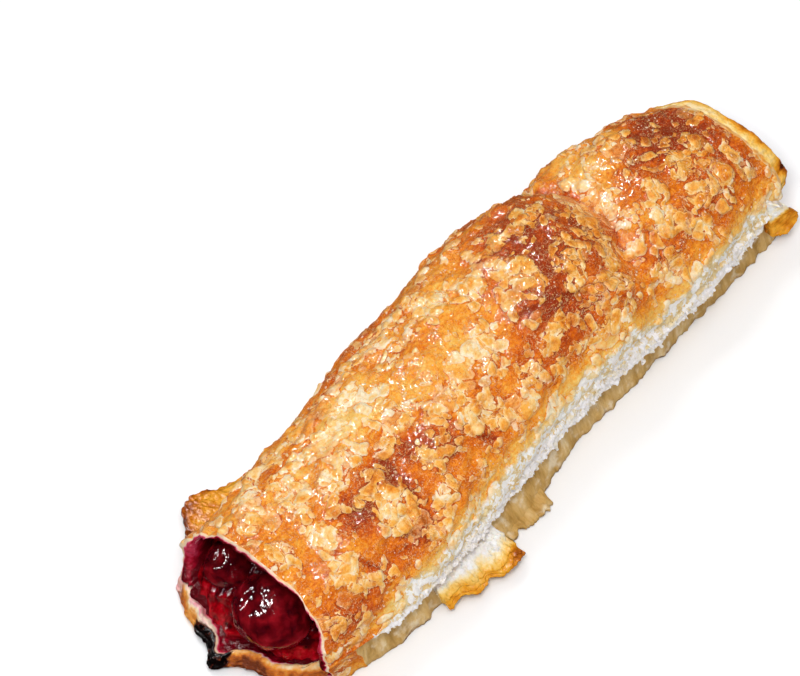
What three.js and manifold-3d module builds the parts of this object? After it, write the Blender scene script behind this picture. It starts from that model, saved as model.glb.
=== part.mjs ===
// A cherry strudel stick: one sheet of puff pastry folded over a cherry filling, baked on its flat side.
// Millimetres, +Z up. +X runs along the stick, from the near mouth with its long scorched lip to the far
// mouth. The seam, where the upper layer's cut edge lies on the lower layer, is on the -Y side. The origin
// is under the middle of the stick, on the face that it rests on.
import * as THREE from "three";
import { mergeVertices } from "three/addons/utils/BufferGeometryUtils.js";
import Module from "manifold-3d";

// ---- Driving dimensions ----

const HALF_LENGTH = 85; // from the middle to the upper layer's rim at the near mouth
const SEAM_Z = 9.5; // height of the upper layer's cut edge
const UNDERCUT = 3.2; // how far the lower layer steps in beneath that edge
const FOOT_ROUND = 5; // corner between the left side and the flat base
const FLOOR = 3.4; // pastry under the filling
const ROOF = 3.6; // pastry over the filling
const RIM = 2.4; // pastry over the filling at the mouths
const SIDE = 4.6; // pastry beside the filling
const FOLD_X = 43; // where the crisp fold behind the high hump crosses the middle
const FOLD_DEPTH = 1.6;
const FOLD_BOW = 0.02; // the fold is bowed: it lies this far nearer for each squared millimetre across
const FOLD_BOW_MOST = 6;
const NEAR_LIP = 10.6; // how far the lower layer reaches out of the near mouth
const FAR_LIP = 5;
const SCORCHED_TIP = 4.8; // the burnt point on the near lip
const FAR_COLLAR = 3; // the inner layers that show past the upper one at the far mouth
const LUMP = 0.55; // depth of the soft lumps all over the crust
const BLISTER = 0.65; // how high a flaky blister stands
const BLISTER_SIZE = 6.2;
const GIRTH = 150; // round the outside
const WIDEST = 0.42; // the section is widest at this share of its height
const GAP = 0.3; // between neighbouring solids

// Loose edges of the lower layer: where each starts and ends along X, how far across its root and its tip
// lie, and its height above the table.
const TORN_FLAP = { near: -52, far: -31, root: -26.5, tip: -39, height: 7.6, droop: 3.6 };
const LEFT_FLANGE = { near: -88, widest: -70, far: -37, root: 15, tip: 34, height: 3 };
const SEAM_SCRAP = { near: -31, far: -11.5, root: -24, tip: -33.6, height: 1.8 };

// The corner of the inner layers at the far mouth: along X, across, and between two heights.
const FAR_CORNER = { root: 76, tip: 86.6, rootY: -24.4, tipY: -26.6, top: 15.5, bottom: 6.5 };

// The stick is uneven: at places along it, how far it reaches to the left, to the right above the seam and
// to the right at the base, and its height.
const STATIONS = [
  { x: -85, left: 20.5, right: 25.4, foot: 25.4, top: 30.5 },
  { x: -66, left: 20.5, right: 29.2, foot: 30.2, top: 31.5 },
  { x: -46, left: 22.0, right: 29.6, foot: 31.0, top: 33.5 },
  { x: -22, left: 24.0, right: 27.4, foot: 31.2, top: 36.0 },
  { x: 2, left: 25.3, right: 25.6, foot: 26.8, top: 37.8 },
  { x: 17, left: 24.6, right: 25.4, foot: 26.2, top: 40.3 },
  { x: 30, left: 24.0, right: 26.4, foot: 26.4, top: 40.5 },
  { x: 43, left: 21.8, right: 26.8, foot: 26.2, top: 33.5 },
  { x: 56, left: 21.4, right: 26.8, foot: 26.1, top: 35.6 },
  { x: 68, left: 20.0, right: 26.0, foot: 26.2, top: 34.6 },
  { x: 85, left: 17.8, right: 24.6, foot: 25.2, top: 30.6 },
];

// Cherries: centre, radius along each axis. They fill both mouths, half sunk in the filling.
const CHERRIES = {
  cherry_near_large: { at: [-85.0, -6.4, 13.4], r: [9.6, 10.2, 9.1] },
  cherry_near_small: { at: [-81.0, 10.2, 12.0], r: [6.8, 6.4, 6.8] },
  cherry_near_upper: { at: [-71.4, 2.6, 19.2], r: [7.2, 7.6, 7.0] },
  cherry_far_large: { at: [79.0, 3.4, 13.6], r: [8.4, 9.4, 9.0] },
  cherry_far_small: { at: [78.6, -13.4, 12.4], r: [6.6, 6.8, 7.0] },
  cherry_far_upper: { at: [66.6, -4.5, 19.6], r: [7.2, 7.6, 7.0] },
};

const AROUND = 60; // points round a section
const ALONG = 54; // sections along the outside
const ALONG_INSIDE = 8;

// ---- Small helpers ----

const clamp01 = (v) => Math.min(1, Math.max(0, v));
const mix = (a, b, k) => a + (b - a) * k;
const smooth = (a, b, v) => {
  const k = clamp01((v - a) / (b - a));
  return k * k * (3 - 2 * k);
};
const bell = (v, middle, width) => Math.exp(-(((v - middle) / width) ** 2));
const power = (v, p) => Math.sign(v) * Math.abs(v) ** p;

// A repeatable number from 0 to 1 for a pair of whole numbers.
function scatter(i, j) {
  const v = Math.sin(i * 127.1 + j * 311.7) * 43758.5453;
  return v - Math.floor(v);
}

// The stick's half widths and height at x, on a smooth curve through the stations.
function sizeAt(x) {
  const last = STATIONS.length - 1;
  let i = 0;
  while (i < last - 1 && x > STATIONS[i + 1].x) i++;
  const [a, b, c, d] = [i - 1, i, i + 1, i + 2].map(
    (n) => STATIONS[Math.min(last, Math.max(0, n))],
  );
  const k = clamp01((x - b.x) / (c.x - b.x));
  const through = (key) => {
    const inSlope = ((c[key] - a[key]) / (c.x - a.x || 1)) * (c.x - b.x);
    const outSlope = ((d[key] - b[key]) / (d.x - b.x || 1)) * (c.x - b.x);
    return (
      b[key] * (2 * k ** 3 - 3 * k ** 2 + 1) +
      inSlope * (k ** 3 - 2 * k ** 2 + k) +
      c[key] * (3 * k ** 2 - 2 * k ** 3) +
      outSlope * (k ** 3 - k ** 2)
    );
  };
  const undercut = UNDERCUT * (1 - 0.45 * smooth(60, HALF_LENGTH, Math.abs(x)));
  const [left, right, foot, top] = ["left", "right", "foot", "top"].map(through);
  return { left, right, foot, top, undercut };
}

// ---- The section: a closed line round the pastry, t from 0 to 1, starting at the seam's cut edge ----

const SECTION_PARTS = { band: 0.1, dome: 0.67, wall: 0.75, base: 0.88, side: 0.96 };

function outline(t, { left, right, foot, top, undercut }) {
  const widest = WIDEST * top;
  const { band, dome, wall, base, side } = SECTION_PARTS;
  if (t < band) {
    const k = t / band;
    return [-(right + 0.8 * (1 - k) ** 2), mix(SEAM_Z, widest, k)];
  }
  if (t < dome) {
    const angle = (Math.PI * (t - band)) / (dome - band);
    const across = power(Math.cos(angle), 0.86);
    return [-across * (across > 0 ? right : left), mix(widest, top, Math.sin(angle) ** 0.9)];
  }
  if (t < wall) {
    const angle = ((Math.PI / 2) * (t - dome)) / (wall - dome);
    const corner = left - FOOT_ROUND;
    return [corner + FOOT_ROUND * Math.cos(angle) ** 0.8, widest * (1 - Math.sin(angle) ** 0.8)];
  }
  if (t < base) return [mix(left - FOOT_ROUND, 0.6 - foot, (t - wall) / (base - wall)), 0];
  if (t < side) {
    const k = (t - base) / (side - base);
    return [-mix(foot, right - undercut, k ** 1.4), mix(0.5, SEAM_Z - 1.8, k)];
  }
  const k = (t - side) / (1 - side);
  return [mix(-(right - undercut), -(right + 0.5), k), mix(SEAM_Z - 1.8, SEAM_Z - 0.5, k)];
}

// The hollow that the filling takes, seen from its middle in the direction of an outside point.
// The pastry is thinner at the mouths, where s is 1.
function hollow([y, z], { left, right, top }, s, inset = 0) {
  const middleY = (left - right) / 2;
  const thin = smooth(0.75, 1, s);
  const halfWide = (left + right) / 2 - mix(SIDE, RIM, thin) - inset;
  const halfHigh = (top - mix(ROOF, RIM, thin) - FLOOR) / 2 - inset;
  const middleZ = FLOOR + inset + halfHigh;
  const angle = Math.atan2(z - middleZ, y - middleY);
  const bend = angle > 0 ? 0.85 : 0.6;
  return [
    middleY + halfWide * power(Math.cos(angle), bend),
    middleZ + halfHigh * power(Math.sin(angle), bend),
  ];
}

// ---- The two ends: where each side of the section stops ----

const low = (z) => 1 - smooth(2, 15, z); // 1 at the base, 0 above the lip

function nearEdge(y, z) {
  const lip = NEAR_LIP * Math.max(0, 1 - (y / 23.5) ** 2) ** 0.8;
  const tip = SCORCHED_TIP * bell(y, -0.5, 3.2) * (1 - smooth(2, 6, z));
  const cheek = 3.4 * smooth(12, 24, -y) * (1 - smooth(17, 29, z)) * smooth(2, 12, z);
  const ragged = 0.7 * Math.sin(y * 0.9 + 1) + 0.4 * Math.sin(y * 2.3 + z);
  return -HALF_LENGTH - low(z) * (lip + ragged) - tip - cheek - 0.4 * Math.sin(z * 0.5 + y * 0.3);
}

// The far mouth is cut aslant, and drawn back at its left and above the seam.
function farEdge(y, z) {
  const lip = FAR_LIP * Math.max(0, 1 - (y / 26) ** 2) ** 0.6;
  const slant = -0.12 * y - 9 * smooth(2, 18, y);
  const notch = 3.5 * bell(z, 10.5, 3) * smooth(20, 25, -y);
  const ragged = 0.6 * Math.sin(y * 1.1) + 0.4 * Math.sin(y * 2.7 + z);
  return 81.4 + slant - notch + low(z) * (lip + ragged);
}

// A place on the stick: s runs from -1 at the near end to 1 at the far end.
function alongAt(s, [y, z], near, far) {
  const x = s * HALF_LENGTH;
  const toNear = 1 - smooth(-HALF_LENGTH, -HALF_LENGTH * 0.62, x);
  const toFar = smooth(HALF_LENGTH * 0.62, HALF_LENGTH, x);
  const bow = Math.min(FOLD_BOW_MOST, FOLD_BOW * (y - 3) ** 2) * bell(x, FOLD_X, 20);
  return x + toNear * (near + HALF_LENGTH) + toFar * (far - HALF_LENGTH) - bow;
}

// ---- Relief ----

// Soft lumps: a few crossing waves, finer and shallower in turn.
function lumps(x, girth) {
  let sum = 0;
  for (let k = 1; k <= 7; k++) {
    const turn = 2.4 * k;
    const wave = (0.24 * k ** 0.85) * (x * Math.cos(turn) + girth * Math.sin(turn)) + 1.7 * k;
    sum += Math.sin(wave) / k ** 0.8;
  }
  return LUMP * sum;
}

// Flaky blisters: uneven cells, of which about every other one stands up.
function blisters(x, girth) {
  const [u, v] = [x / BLISTER_SIZE, girth / BLISTER_SIZE];
  let best = { far: 9, up: 0 };
  for (let i = Math.floor(u) - 1; i <= Math.floor(u) + 1; i++)
    for (let j = Math.floor(v) - 1; j <= Math.floor(v) + 1; j++) {
      const far = Math.hypot(i + scatter(i, j) - u, j + scatter(j, i + 9) - v);
      if (far < best.far) best = { far, up: scatter(i + 31, j + 17) > 0.5 ? 1 : 0 };
    }
  return BLISTER * best.up * (1 - smooth(0.35, 0.75, best.far));
}

// How much relief a place of the section carries: the crust has all of it, the cut edge some, the base none.
function reliefAt(t, s, x) {
  const { band, dome, wall } = SECTION_PARTS;
  const crust = smooth(0, band, t) * (1 - smooth(dome, wall, t));
  const girth = GIRTH * t;
  const fold = FOLD_DEPTH * bell(s * HALF_LENGTH, FOLD_X, 2.6) * smooth(0.24, 0.34, t);
  const edge = 0.9 * (1 - smooth(0.005, band * 0.7, t)) * Math.sin(x * 0.55 + 2 * Math.sin(x * 0.21));
  return crust * (lumps(x, girth) + blisters(x, girth) - fold) + edge;
}

// ---- Meshes ----

// A closed skin over rings of points: joined end to end as a tube wall, or shut by a point at each end.
function skin(rings, caps) {
  const n = rings[0].length;
  const points = rings.flat().concat(caps ?? []);
  const faces = [];
  const at = (i, j) => (i % rings.length) * n + (j % n);
  const rows = caps ? rings.length - 1 : rings.length;
  for (let i = 0; i < rows; i++)
    for (let j = 0; j < n; j++) {
      faces.push(at(i, j), at(i + 1, j), at(i + 1, j + 1));
      faces.push(at(i, j), at(i + 1, j + 1), at(i, j + 1));
    }
  if (caps)
    for (let j = 0; j < n; j++) {
      faces.push(points.length - 2, at(0, j), at(0, j + 1));
      faces.push(points.length - 1, at(rings.length - 1, j + 1), at(rings.length - 1, j));
    }
  const geometry = new THREE.BufferGeometry();
  geometry.setAttribute("position", new THREE.Float32BufferAttribute(points.flat(), 3));
  geometry.setIndex(faces);
  return geometry;
}

const wasm = await Module();
wasm.setup();

// A geometry as a manifold solid, with its faces turned outwards.
function solid(geometry) {
  const bare = geometry.clone();
  bare.deleteAttribute("normal");
  bare.deleteAttribute("uv");
  const merged = mergeVertices(bare, 1e-4);
  const build = (triVerts) =>
    new wasm.Manifold(
      new wasm.Mesh({ numProp: 3, vertProperties: merged.attributes.position.array, triVerts }),
    );
  const triVerts = new Uint32Array(merged.index.array);
  const made = build(triVerts);
  if (made.volume() > 0) return made;
  for (let i = 0; i < triVerts.length; i += 3)
    [triVerts[i + 1], triVerts[i + 2]] = [triVerts[i + 2], triVerts[i + 1]];
  return build(triVerts);
}

function geometryOf(made) {
  const { vertProperties, triVerts } = made.getMesh();
  const geometry = new THREE.BufferGeometry();
  geometry.setAttribute("position", new THREE.Float32BufferAttribute(vertProperties, 3));
  geometry.setIndex(new THREE.BufferAttribute(triVerts, 1));
  geometry.computeVertexNormals();
  return geometry;
}

const steps = (n, from = 0, to = 1) =>
  Array.from({ length: n + 1 }, (_, i) => mix(from, to, i / n));

// ---- The pastry ----

const AROUND_STEPS = Array.from({ length: AROUND }, (_, i) => i / AROUND);

// One ring of the hollow's wall, or of a body that lies in it with a gap all round.
function hollowRing(s, inset = 0, slide = 0) {
  const size = sizeAt(s * HALF_LENGTH);
  return AROUND_STEPS.map((t) => {
    const flat = outline(t, size);
    const x = alongAt(s, flat, nearEdge(...flat), farEdge(...flat));
    return [x + slide, ...hollow(flat, size, Math.abs(s), inset)];
  });
}

function pastryRings() {
  const outside = (s) =>
    AROUND_STEPS.map((t) => {
      const size = sizeAt(s * HALF_LENGTH);
      const flat = outline(t, size);
      const x = alongAt(s, flat, nearEdge(...flat), farEdge(...flat));
      const middle = [(size.left - size.right) / 2, 0.4 * size.top];
      const [dy, dz] = [flat[0] - middle[0], flat[1] - middle[1]];
      const out = reliefAt(t, s, x) / Math.hypot(dy, dz);
      return [x, flat[0] + dy * out, Math.max(0, flat[1] + dz * out)];
    });
  // A ring part of the way from one ring to another, pushed along X.
  const between = (a, b, k, push) =>
    a.map((p, j) => [mix(p[0], b[j][0], k) + push(j, k), mix(p[1], b[j][1], k), mix(p[2], b[j][2], k)]);
  const [nearOut, nearIn] = [outside(-1), hollowRing(-1, 0, 0.4)];
  const [farOut, farIn] = [outside(1), hollowRing(1, 0, FAR_COLLAR - 1)];
  const round = (j, k) => -0.9 * Math.sin(Math.PI * k) - 0.3 * scatter(j, 5);
  const collar = (share) => (j) => {
    const wider = 1 + 0.5 * smooth(5, 20, -farOut[j][1]) + 0.2 * scatter(j, 3);
    return share * FAR_COLLAR * wider * (1 - 0.6 * low(farOut[j][2]));
  };
  return [
    ...steps(ALONG, -1, 1).slice(1, -1).map(outside),
    farOut,
    between(farOut, farIn, 0.4, () => 0),
    between(farOut, farIn, 0.48, collar(0.8)),
    between(farOut, farIn, 0.75, collar(0.5)),
    farIn,
    ...steps(ALONG_INSIDE, 1, -1).slice(1, -1).map((s) => hollowRing(s)),
    nearIn,
    between(nearIn, nearOut, 0.35, round),
    between(nearIn, nearOut, 0.7, round),
    nearOut,
  ];
}

// A thin piece of pastry that stands out of a side: a grid over u along it and v out of it, with its
// thickness set along one axis.
function tab(along, out, place, thickness, axis = 2) {
  const face = (u, v, side) =>
    place(u, v).map((value, i) => value + (i === axis ? side * thickness(v) * 0.5 : 0));
  const rings = steps(along).map((u) => [
    ...steps(out).map((v) => face(u, v, 1)),
    ...steps(out, 1, 0).map((v) => face(u, v, -1)),
  ]);
  const middle = (u) => place(u, 0.5);
  return skin(rings, [middle(0), middle(1)]);
}

// The torn flap: its root is under the cut edge and its tip nearly on the table.
function tornFlap({ near, far, root, tip, height, droop }) {
  const place = (u, v) => {
    const tipY = tip + 5.5 * (1 - u) ** 2.2 + 0.4 * Math.sin(u * 14);
    const wave = 0.5 * Math.sin(u * 9);
    return [mix(near, far, u) + 2.4 * v * (u - 0.5), mix(root, tipY, v), height + (wave - droop) * v];
  };
  return tab(12, 5, place, (v) => mix(2.8, 1.5, v));
}

// The flange that spreads to the left of the near mouth: widest near the mouth, then narrowing.
function leftFlange({ near, widest, far, root, tip, height }) {
  const place = (u, v) => {
    const x = mix(near, far, u);
    const tipY = tip - Math.max(0.85 * (widest - x), 0.25 * (x - widest)) + 0.5 * Math.sin(u * 19);
    return [x, mix(root, tipY, v), height + 1.2 * v * Math.sin(u * 7)];
  };
  return tab(17, 4, place, (v) => mix(3.8, 1.8, v));
}

// A scrap that has spread on the tray beside the seam.
function seamScrap({ near, far, root, tip, height }) {
  const place = (u, v) => {
    const tipY = tip + 0.6 * Math.sin(u * 12);
    return [mix(near, far, u) + 3 * v * (0.5 - u), mix(root, tipY, v), height - 0.4 * v];
  };
  return tab(8, 3, place, (v) => mix(3, 1.4, v));
}

function farCorner({ root, tip, rootY, tipY, top, bottom }) {
  const place = (u, v) => [
    mix(root, tip - 1.6 * Math.abs(u - 0.55), v),
    mix(rootY, tipY, v) - 1.6 * u,
    mix(top, bottom, u) + v * (0.5 - u),
  ];
  return tab(6, 4, place, (v) => mix(3, 2, v), 1);
}

function pastry() {
  let whole = solid(skin(pastryRings()));
  const looseEdges = [
    tornFlap(TORN_FLAP),
    leftFlange(LEFT_FLANGE),
    seamScrap(SEAM_SCRAP),
    farCorner(FAR_CORNER),
  ];
  for (const edge of looseEdges) whole = whole.add(solid(edge));
  return whole;
}

// ---- The filling and its cherries ----

// The filling's face at the mouths: a slope that starts on the lip and rises to the back of the hollow.
function nearFace(y, z) {
  const onLip = nearEdge(y, 2) + 3.6 + SCORCHED_TIP * bell(y, -1.5, 3.2);
  return mix(onLip, -75, smooth(FLOOR, 20, z)) + 0.5 * Math.sin(y * 0.8) * Math.sin(z * 0.7);
}

function farFace(y, z) {
  return mix(farEdge(y, 2) - 2.6, 70, smooth(FLOOR, 22, z)) + 0.5 * Math.sin(y * 0.7 + 2);
}

// Everything between the two faces, as a block with a grid of points on each face.
function betweenFaces() {
  const heights = steps(8, -2, 46);
  const rings = steps(9, -34, 34).map((y) => [
    ...heights.map((z) => [nearFace(y, z), y, z]),
    ...heights.map((z) => [farFace(y, z), y, z]).reverse(),
  ]);
  return solid(skin(rings, [[0, -35, 20], [0, 35, 20]]));
}

function filling() {
  const rings = steps(ALONG_INSIDE, -1, 1).map((s) => hollowRing(s, GAP).filter((_, j) => j % 2));
  let made = solid(skin(rings, [[-88, 0, 12], [86, 0, 12]])).intersect(betweenFaces());
  for (const { at, r } of Object.values(CHERRIES)) made = made.subtract(cherrySolid(at, r, GAP));
  return made.decompose().sort((a, b) => b.volume() - a.volume())[0];
}

// A cooked cherry: a slightly squashed ball with a dimple where its stem was.
function cherrySolid([x, y, z], [rx, ry, rz], grow = 0) {
  const geometry = new THREE.SphereGeometry(1, 14, 10);
  const place = geometry.getAttribute("position");
  for (let i = 0; i < place.count; i++) {
    const p = new THREE.Vector3().fromBufferAttribute(place, i);
    const dimple = grow ? 0 : 0.12 * bell(p.distanceTo(new THREE.Vector3(-0.5, 0.25, 0.83)), 0, 0.34);
    const [a, b, c] = [rx, ry, rz].map((radius) => radius + grow);
    p.multiplyScalar(1 - dimple);
    place.setXYZ(i, x + a * p.x, y + b * p.y, z + c * p.z);
  }
  return solid(geometry);
}

// ---- The object ----

const finish = (color, roughness) => new THREE.MeshStandardMaterial({ color, roughness, metalness: 0 });
const PASTRY = finish("#c98a45", 0.55);
const JAM = finish("#8a0a18", 0.12);
const CHERRY = finish("#4e0812", 0.1);

function mesh(name, made, material) {
  const piece = new THREE.Mesh(geometryOf(made), material);
  piece.name = name;
  return piece;
}

const strudel = new THREE.Group();
strudel.add(mesh("pastry", pastry(), PASTRY));
strudel.add(mesh("cherry_filling", filling(), JAM));
for (const [name, { at, r }] of Object.entries(CHERRIES))
  strudel.add(mesh(name, cherrySolid(at, r), CHERRY));

// Stand it over the origin: the middle of its box at X and Y zero, its base at Z zero.
const box = new THREE.Box3().setFromObject(strudel);
const middle = box.getCenter(new THREE.Vector3());
strudel.position.set(-middle.x, -middle.y, -box.min.z);

export default strudel;
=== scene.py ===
# %% [markdown]
# # A cherry strudel stick
# This lesson bakes a strudel stick in Blender: a sheet of puff pastry folded over cherries in jam. The solid
# model of it is loaded first and never changes. Each piece made here takes the place of one of its nodes,
# keeps that node's form and adds what a solid can't carry: blistered crust, crumbs, ragged edges, syrup and
# shine.

import math

import bmesh
import bpy
import numpy as np
from mathutils import Matrix, Vector


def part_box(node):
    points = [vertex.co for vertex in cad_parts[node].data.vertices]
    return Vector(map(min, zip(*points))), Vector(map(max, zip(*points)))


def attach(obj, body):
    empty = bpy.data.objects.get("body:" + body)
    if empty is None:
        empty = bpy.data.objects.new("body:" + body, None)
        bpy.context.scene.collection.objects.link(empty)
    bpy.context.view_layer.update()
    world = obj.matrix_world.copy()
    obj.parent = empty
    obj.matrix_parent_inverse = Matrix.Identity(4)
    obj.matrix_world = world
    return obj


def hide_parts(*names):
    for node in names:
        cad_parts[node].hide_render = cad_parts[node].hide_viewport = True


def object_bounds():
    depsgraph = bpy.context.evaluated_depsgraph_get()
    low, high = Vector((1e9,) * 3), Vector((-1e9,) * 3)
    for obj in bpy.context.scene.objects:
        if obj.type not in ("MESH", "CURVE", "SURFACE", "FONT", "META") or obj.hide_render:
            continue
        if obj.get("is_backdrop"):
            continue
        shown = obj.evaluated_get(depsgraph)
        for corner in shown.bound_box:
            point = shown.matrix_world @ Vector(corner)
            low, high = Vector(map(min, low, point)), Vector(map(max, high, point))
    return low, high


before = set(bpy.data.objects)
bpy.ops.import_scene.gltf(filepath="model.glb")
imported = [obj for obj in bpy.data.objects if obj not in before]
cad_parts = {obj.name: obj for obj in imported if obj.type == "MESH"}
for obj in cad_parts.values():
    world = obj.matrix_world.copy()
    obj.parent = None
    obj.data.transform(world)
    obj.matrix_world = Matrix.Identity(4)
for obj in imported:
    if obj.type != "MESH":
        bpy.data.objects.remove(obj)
cad_box = [list(corner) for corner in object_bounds()]
print("solid model:", sorted(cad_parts))

# %% [markdown]
# ## Millimetres
# The pastry is easiest to think of in millimetres, with X along the stick, and the table at height 0. The
# solid model stands over the middle of its own box, so one cherry, whose place along the stick is known,
# tells how far the two frames are apart. Every point below is in millimetres until `placed` turns it into
# metres of the frame.

# %% From millimetres to the frame
FIRST_CHERRY = (-85.0, -6.4)  # the large cherry in the near mouth, along and across
cherry_low, cherry_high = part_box("cherry_near_large")
SHIFT = np.array([500 * (cherry_low[i] + cherry_high[i]) - FIRST_CHERRY[i] for i in (0, 1)] + [0.0])


def placed(points):
    return (np.asarray(points, float) + SHIFT) / 1000


print("the middle of the stick lies at", SHIFT.round(2), "mm in the frame")

# %% [markdown]
# ## Small helpers
# A few curves turn up in nearly every step: a straight mix of two values, a soft step and a bell. A
# repeatable value noise stands in for chance, so that each run gives the same pastry.

# %% Curves and noise


def mix(a, b, k):
    return a + (b - a) * k


def smooth(start, end, value):
    k = np.clip((value - start) / (end - start), 0, 1)
    return k * k * (3 - 2 * k)


def bell(value, middle, width):
    return np.exp(-(((value - middle) / width) ** 2))


def power(value, p):
    return np.sign(value) * np.abs(value) ** p


def chance(*whole):
    """A repeatable number from 0 to 1 for whole numbers."""
    folded = sum(np.asarray(n, float) * turn for n, turn in zip(whole, (127.1, 311.7, 74.7)))
    value = np.sin(folded) * 43758.5453
    return value - np.floor(value)


def wander(u, v=0.0, seed=0.0, octaves=3):
    """Smooth noise from about -1 to 1 over a plane, with a bump for each whole step."""
    u, v = np.broadcast_arrays(np.asarray(u, float), np.asarray(v, float))
    height, weight = 0, 1.0
    for octave in range(octaves):
        i, j = np.floor(u), np.floor(v)
        a, b = smooth(0, 1, u - i), smooth(0, 1, v - j)
        corner = lambda di, dj: chance(i + di, j + dj, seed + octave)
        near, far = mix(corner(0, 0), corner(1, 0), a), mix(corner(0, 1), corner(1, 1), a)
        height = height + weight * (2 * mix(near, far, b) - 1)
        u, v, weight = u * 2.1 + 5.3, v * 2.1 + 1.7, weight * 0.5
    return height


print("noise repeats:", round(float(wander(1.5, 2.5)), 4))

# %% [markdown]
# ## The shape of the stick
# A baked stick is never straight. It could be sculpted, but a rule is easier to repeat: at a few stations
# along it, four sizes say how far it reaches to the left, to the right, to the right at the table, and how
# high it is. A smooth curve joins them. The section between them is one closed line, from the cut edge of the
# upper sheet, over the dome and under the stick, and back to the seam. The solid model follows the same rule
# more coarsely.

# %% Sizes along the stick
HALF_LENGTH = 85
SEAM_Z = 11.8  # height of the upper sheet's cut edge
UNDERCUT = 3.2  # how far the lower sheet steps in beneath that edge
FOOT_ROUND = 5  # corner between the left side and the base
FLOOR, ROOF, SIDE = 3.4, 3.6, 4.6  # dough under, over and beside the filling
RIM = 2.4  # dough round the filling at the mouths
WIDEST = 0.42  # the section is widest at this share of its height
CHEEK = (-77, -71)  # nearer than this the crust runs down to the table
STATIONS = np.array(
    [  # along, left, right, foot, top
        (-85, 20.5, 25.4, 25.4, 30.5),
        (-66, 20.5, 29.2, 30.2, 31.5),
        (-46, 22.0, 29.6, 31.0, 33.5),
        (-22, 24.0, 27.4, 31.2, 36.0),
        (2, 25.3, 25.6, 26.8, 37.8),
        (17, 24.6, 25.4, 26.2, 40.3),
        (30, 24.0, 26.4, 26.4, 40.5),
        (43, 21.8, 26.8, 26.2, 33.5),
        (56, 21.4, 26.8, 26.1, 35.6),
        (68, 20.0, 26.0, 26.2, 34.6),
        (85, 17.8, 24.6, 25.2, 30.6),
    ]
)


def sizes_at(x):
    """Left, right, foot, top and undercut at places along the stick."""
    x = np.asarray(x, float)
    last = len(STATIONS) - 1
    i = np.clip(np.searchsorted(STATIONS[:, 0], x) - 1, 0, last - 1)
    a, b, c, d = (STATIONS[np.clip(i + n, 0, last)] for n in (-1, 0, 1, 2))
    span = c[..., :1] - b[..., :1]
    k = np.clip((x[..., None] - b[..., :1]) / span, 0, 1)

    def slope(p, q):
        return (q - p) / np.maximum(q[..., :1] - p[..., :1], 1) * span

    through = (
        b * (2 * k**3 - 3 * k**2 + 1)
        + slope(a, c) * (k**3 - 2 * k**2 + k)
        + c * (3 * k**2 - 2 * k**3)
        + slope(b, d) * (k**3 - k**2)
    )
    undercut = UNDERCUT * (1 - 0.45 * smooth(60, HALF_LENGTH, np.abs(x))) * smooth(*CHEEK, x)
    return through[..., 1], through[..., 2], through[..., 3], through[..., 4], undercut


print("height in the middle:", round(float(sizes_at(0.0)[3]), 1), "mm")

# %% The section
BAND, DOME, WALL, BASE, SIDE_END = 0.1, 0.67, 0.75, 0.88, 0.96  # where each stretch of the section ends
DOME_ACROSS, DOME_UP, FOOT_BEND, SHEET_LEAN = 0.86, 0.9, 0.8, 1.4  # powers: less than 1 is fuller than round
EDGE_FALL = 1.8  # from the cut edge down to the lower sheet's top


def outline(t, sizes):
    """Across and up for a share t of the way round, from the cut edge of the upper sheet."""
    left, right, foot, top, undercut = sizes
    t = np.asarray(t, float) + 0 * left
    widest = WIDEST * top
    band = t / BAND
    turn = np.pi * np.clip((t - BAND) / (DOME - BAND), 0, 1)
    across = power(np.cos(turn), DOME_ACROSS)
    bend = np.pi / 2 * np.clip((t - DOME) / (WALL - DOME), 0, 1)
    corner = left - FOOT_ROUND
    under = (t - WALL) / (BASE - WALL)
    rise = np.clip((t - BASE) / (SIDE_END - BASE), 0, 1)
    ledge = (t - SIDE_END) / (1 - SIDE_END)
    stretch = [t < BAND, t < DOME, t < WALL, t < BASE, t < SIDE_END]
    y = np.select(
        stretch,
        [
            -(right + 0.8 * (1 - band) ** 2),
            -across * np.where(across > 0, right, left),
            corner + FOOT_ROUND * np.abs(np.cos(bend)) ** FOOT_BEND,
            mix(corner, 0.6 - foot, under),
            -mix(foot, right - undercut, rise**SHEET_LEAN),
        ],
        mix(-(right - undercut), -(right + 0.5), ledge),
    )
    z = np.select(
        stretch,
        [
            mix(SEAM_Z, widest, band),
            mix(widest, top, np.abs(np.sin(turn)) ** DOME_UP),
            widest * (1 - np.abs(np.sin(bend)) ** FOOT_BEND),
            0 * t,
            mix(0.5, SEAM_Z - EDGE_FALL, rise),
        ],
        mix(SEAM_Z - EDGE_FALL, SEAM_Z - 0.5, ledge),
    )
    return y, z


ROOF_BEND, FLOOR_BEND = 0.85, 0.6


def hollow(y, z, sizes, s, inset):
    """The room for the filling, seen from its middle towards a place of the section."""
    left, right, _, top, _ = sizes
    thin = smooth(0.75, 1, np.abs(s))
    middle_y = (left - right) / 2
    half_wide = (left + right) / 2 - mix(SIDE, RIM, thin) - inset
    half_high = (top - mix(ROOF, RIM, thin) - FLOOR) / 2 - inset
    middle_z = FLOOR + inset + half_high
    angle = np.arctan2(z - middle_z, y - middle_y)
    bend = np.where(angle > 0, ROOF_BEND, FLOOR_BEND)
    across, up = np.cos(angle), np.sin(angle)
    return (
        middle_y + half_wide * power(across, bend),
        middle_z + half_high * power(up, bend),
    )


print("section at the middle:", [round(float(v), 1) for v in outline(0.4, sizes_at(0.0))])

# %% [markdown]
# ## The two mouths
# At each end the lower layer reaches out as a lip, ragged where it was cut, and scorched at one point. The
# end of the stick is a rule too: how far along the pastry reaches at each place of the section.

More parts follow.
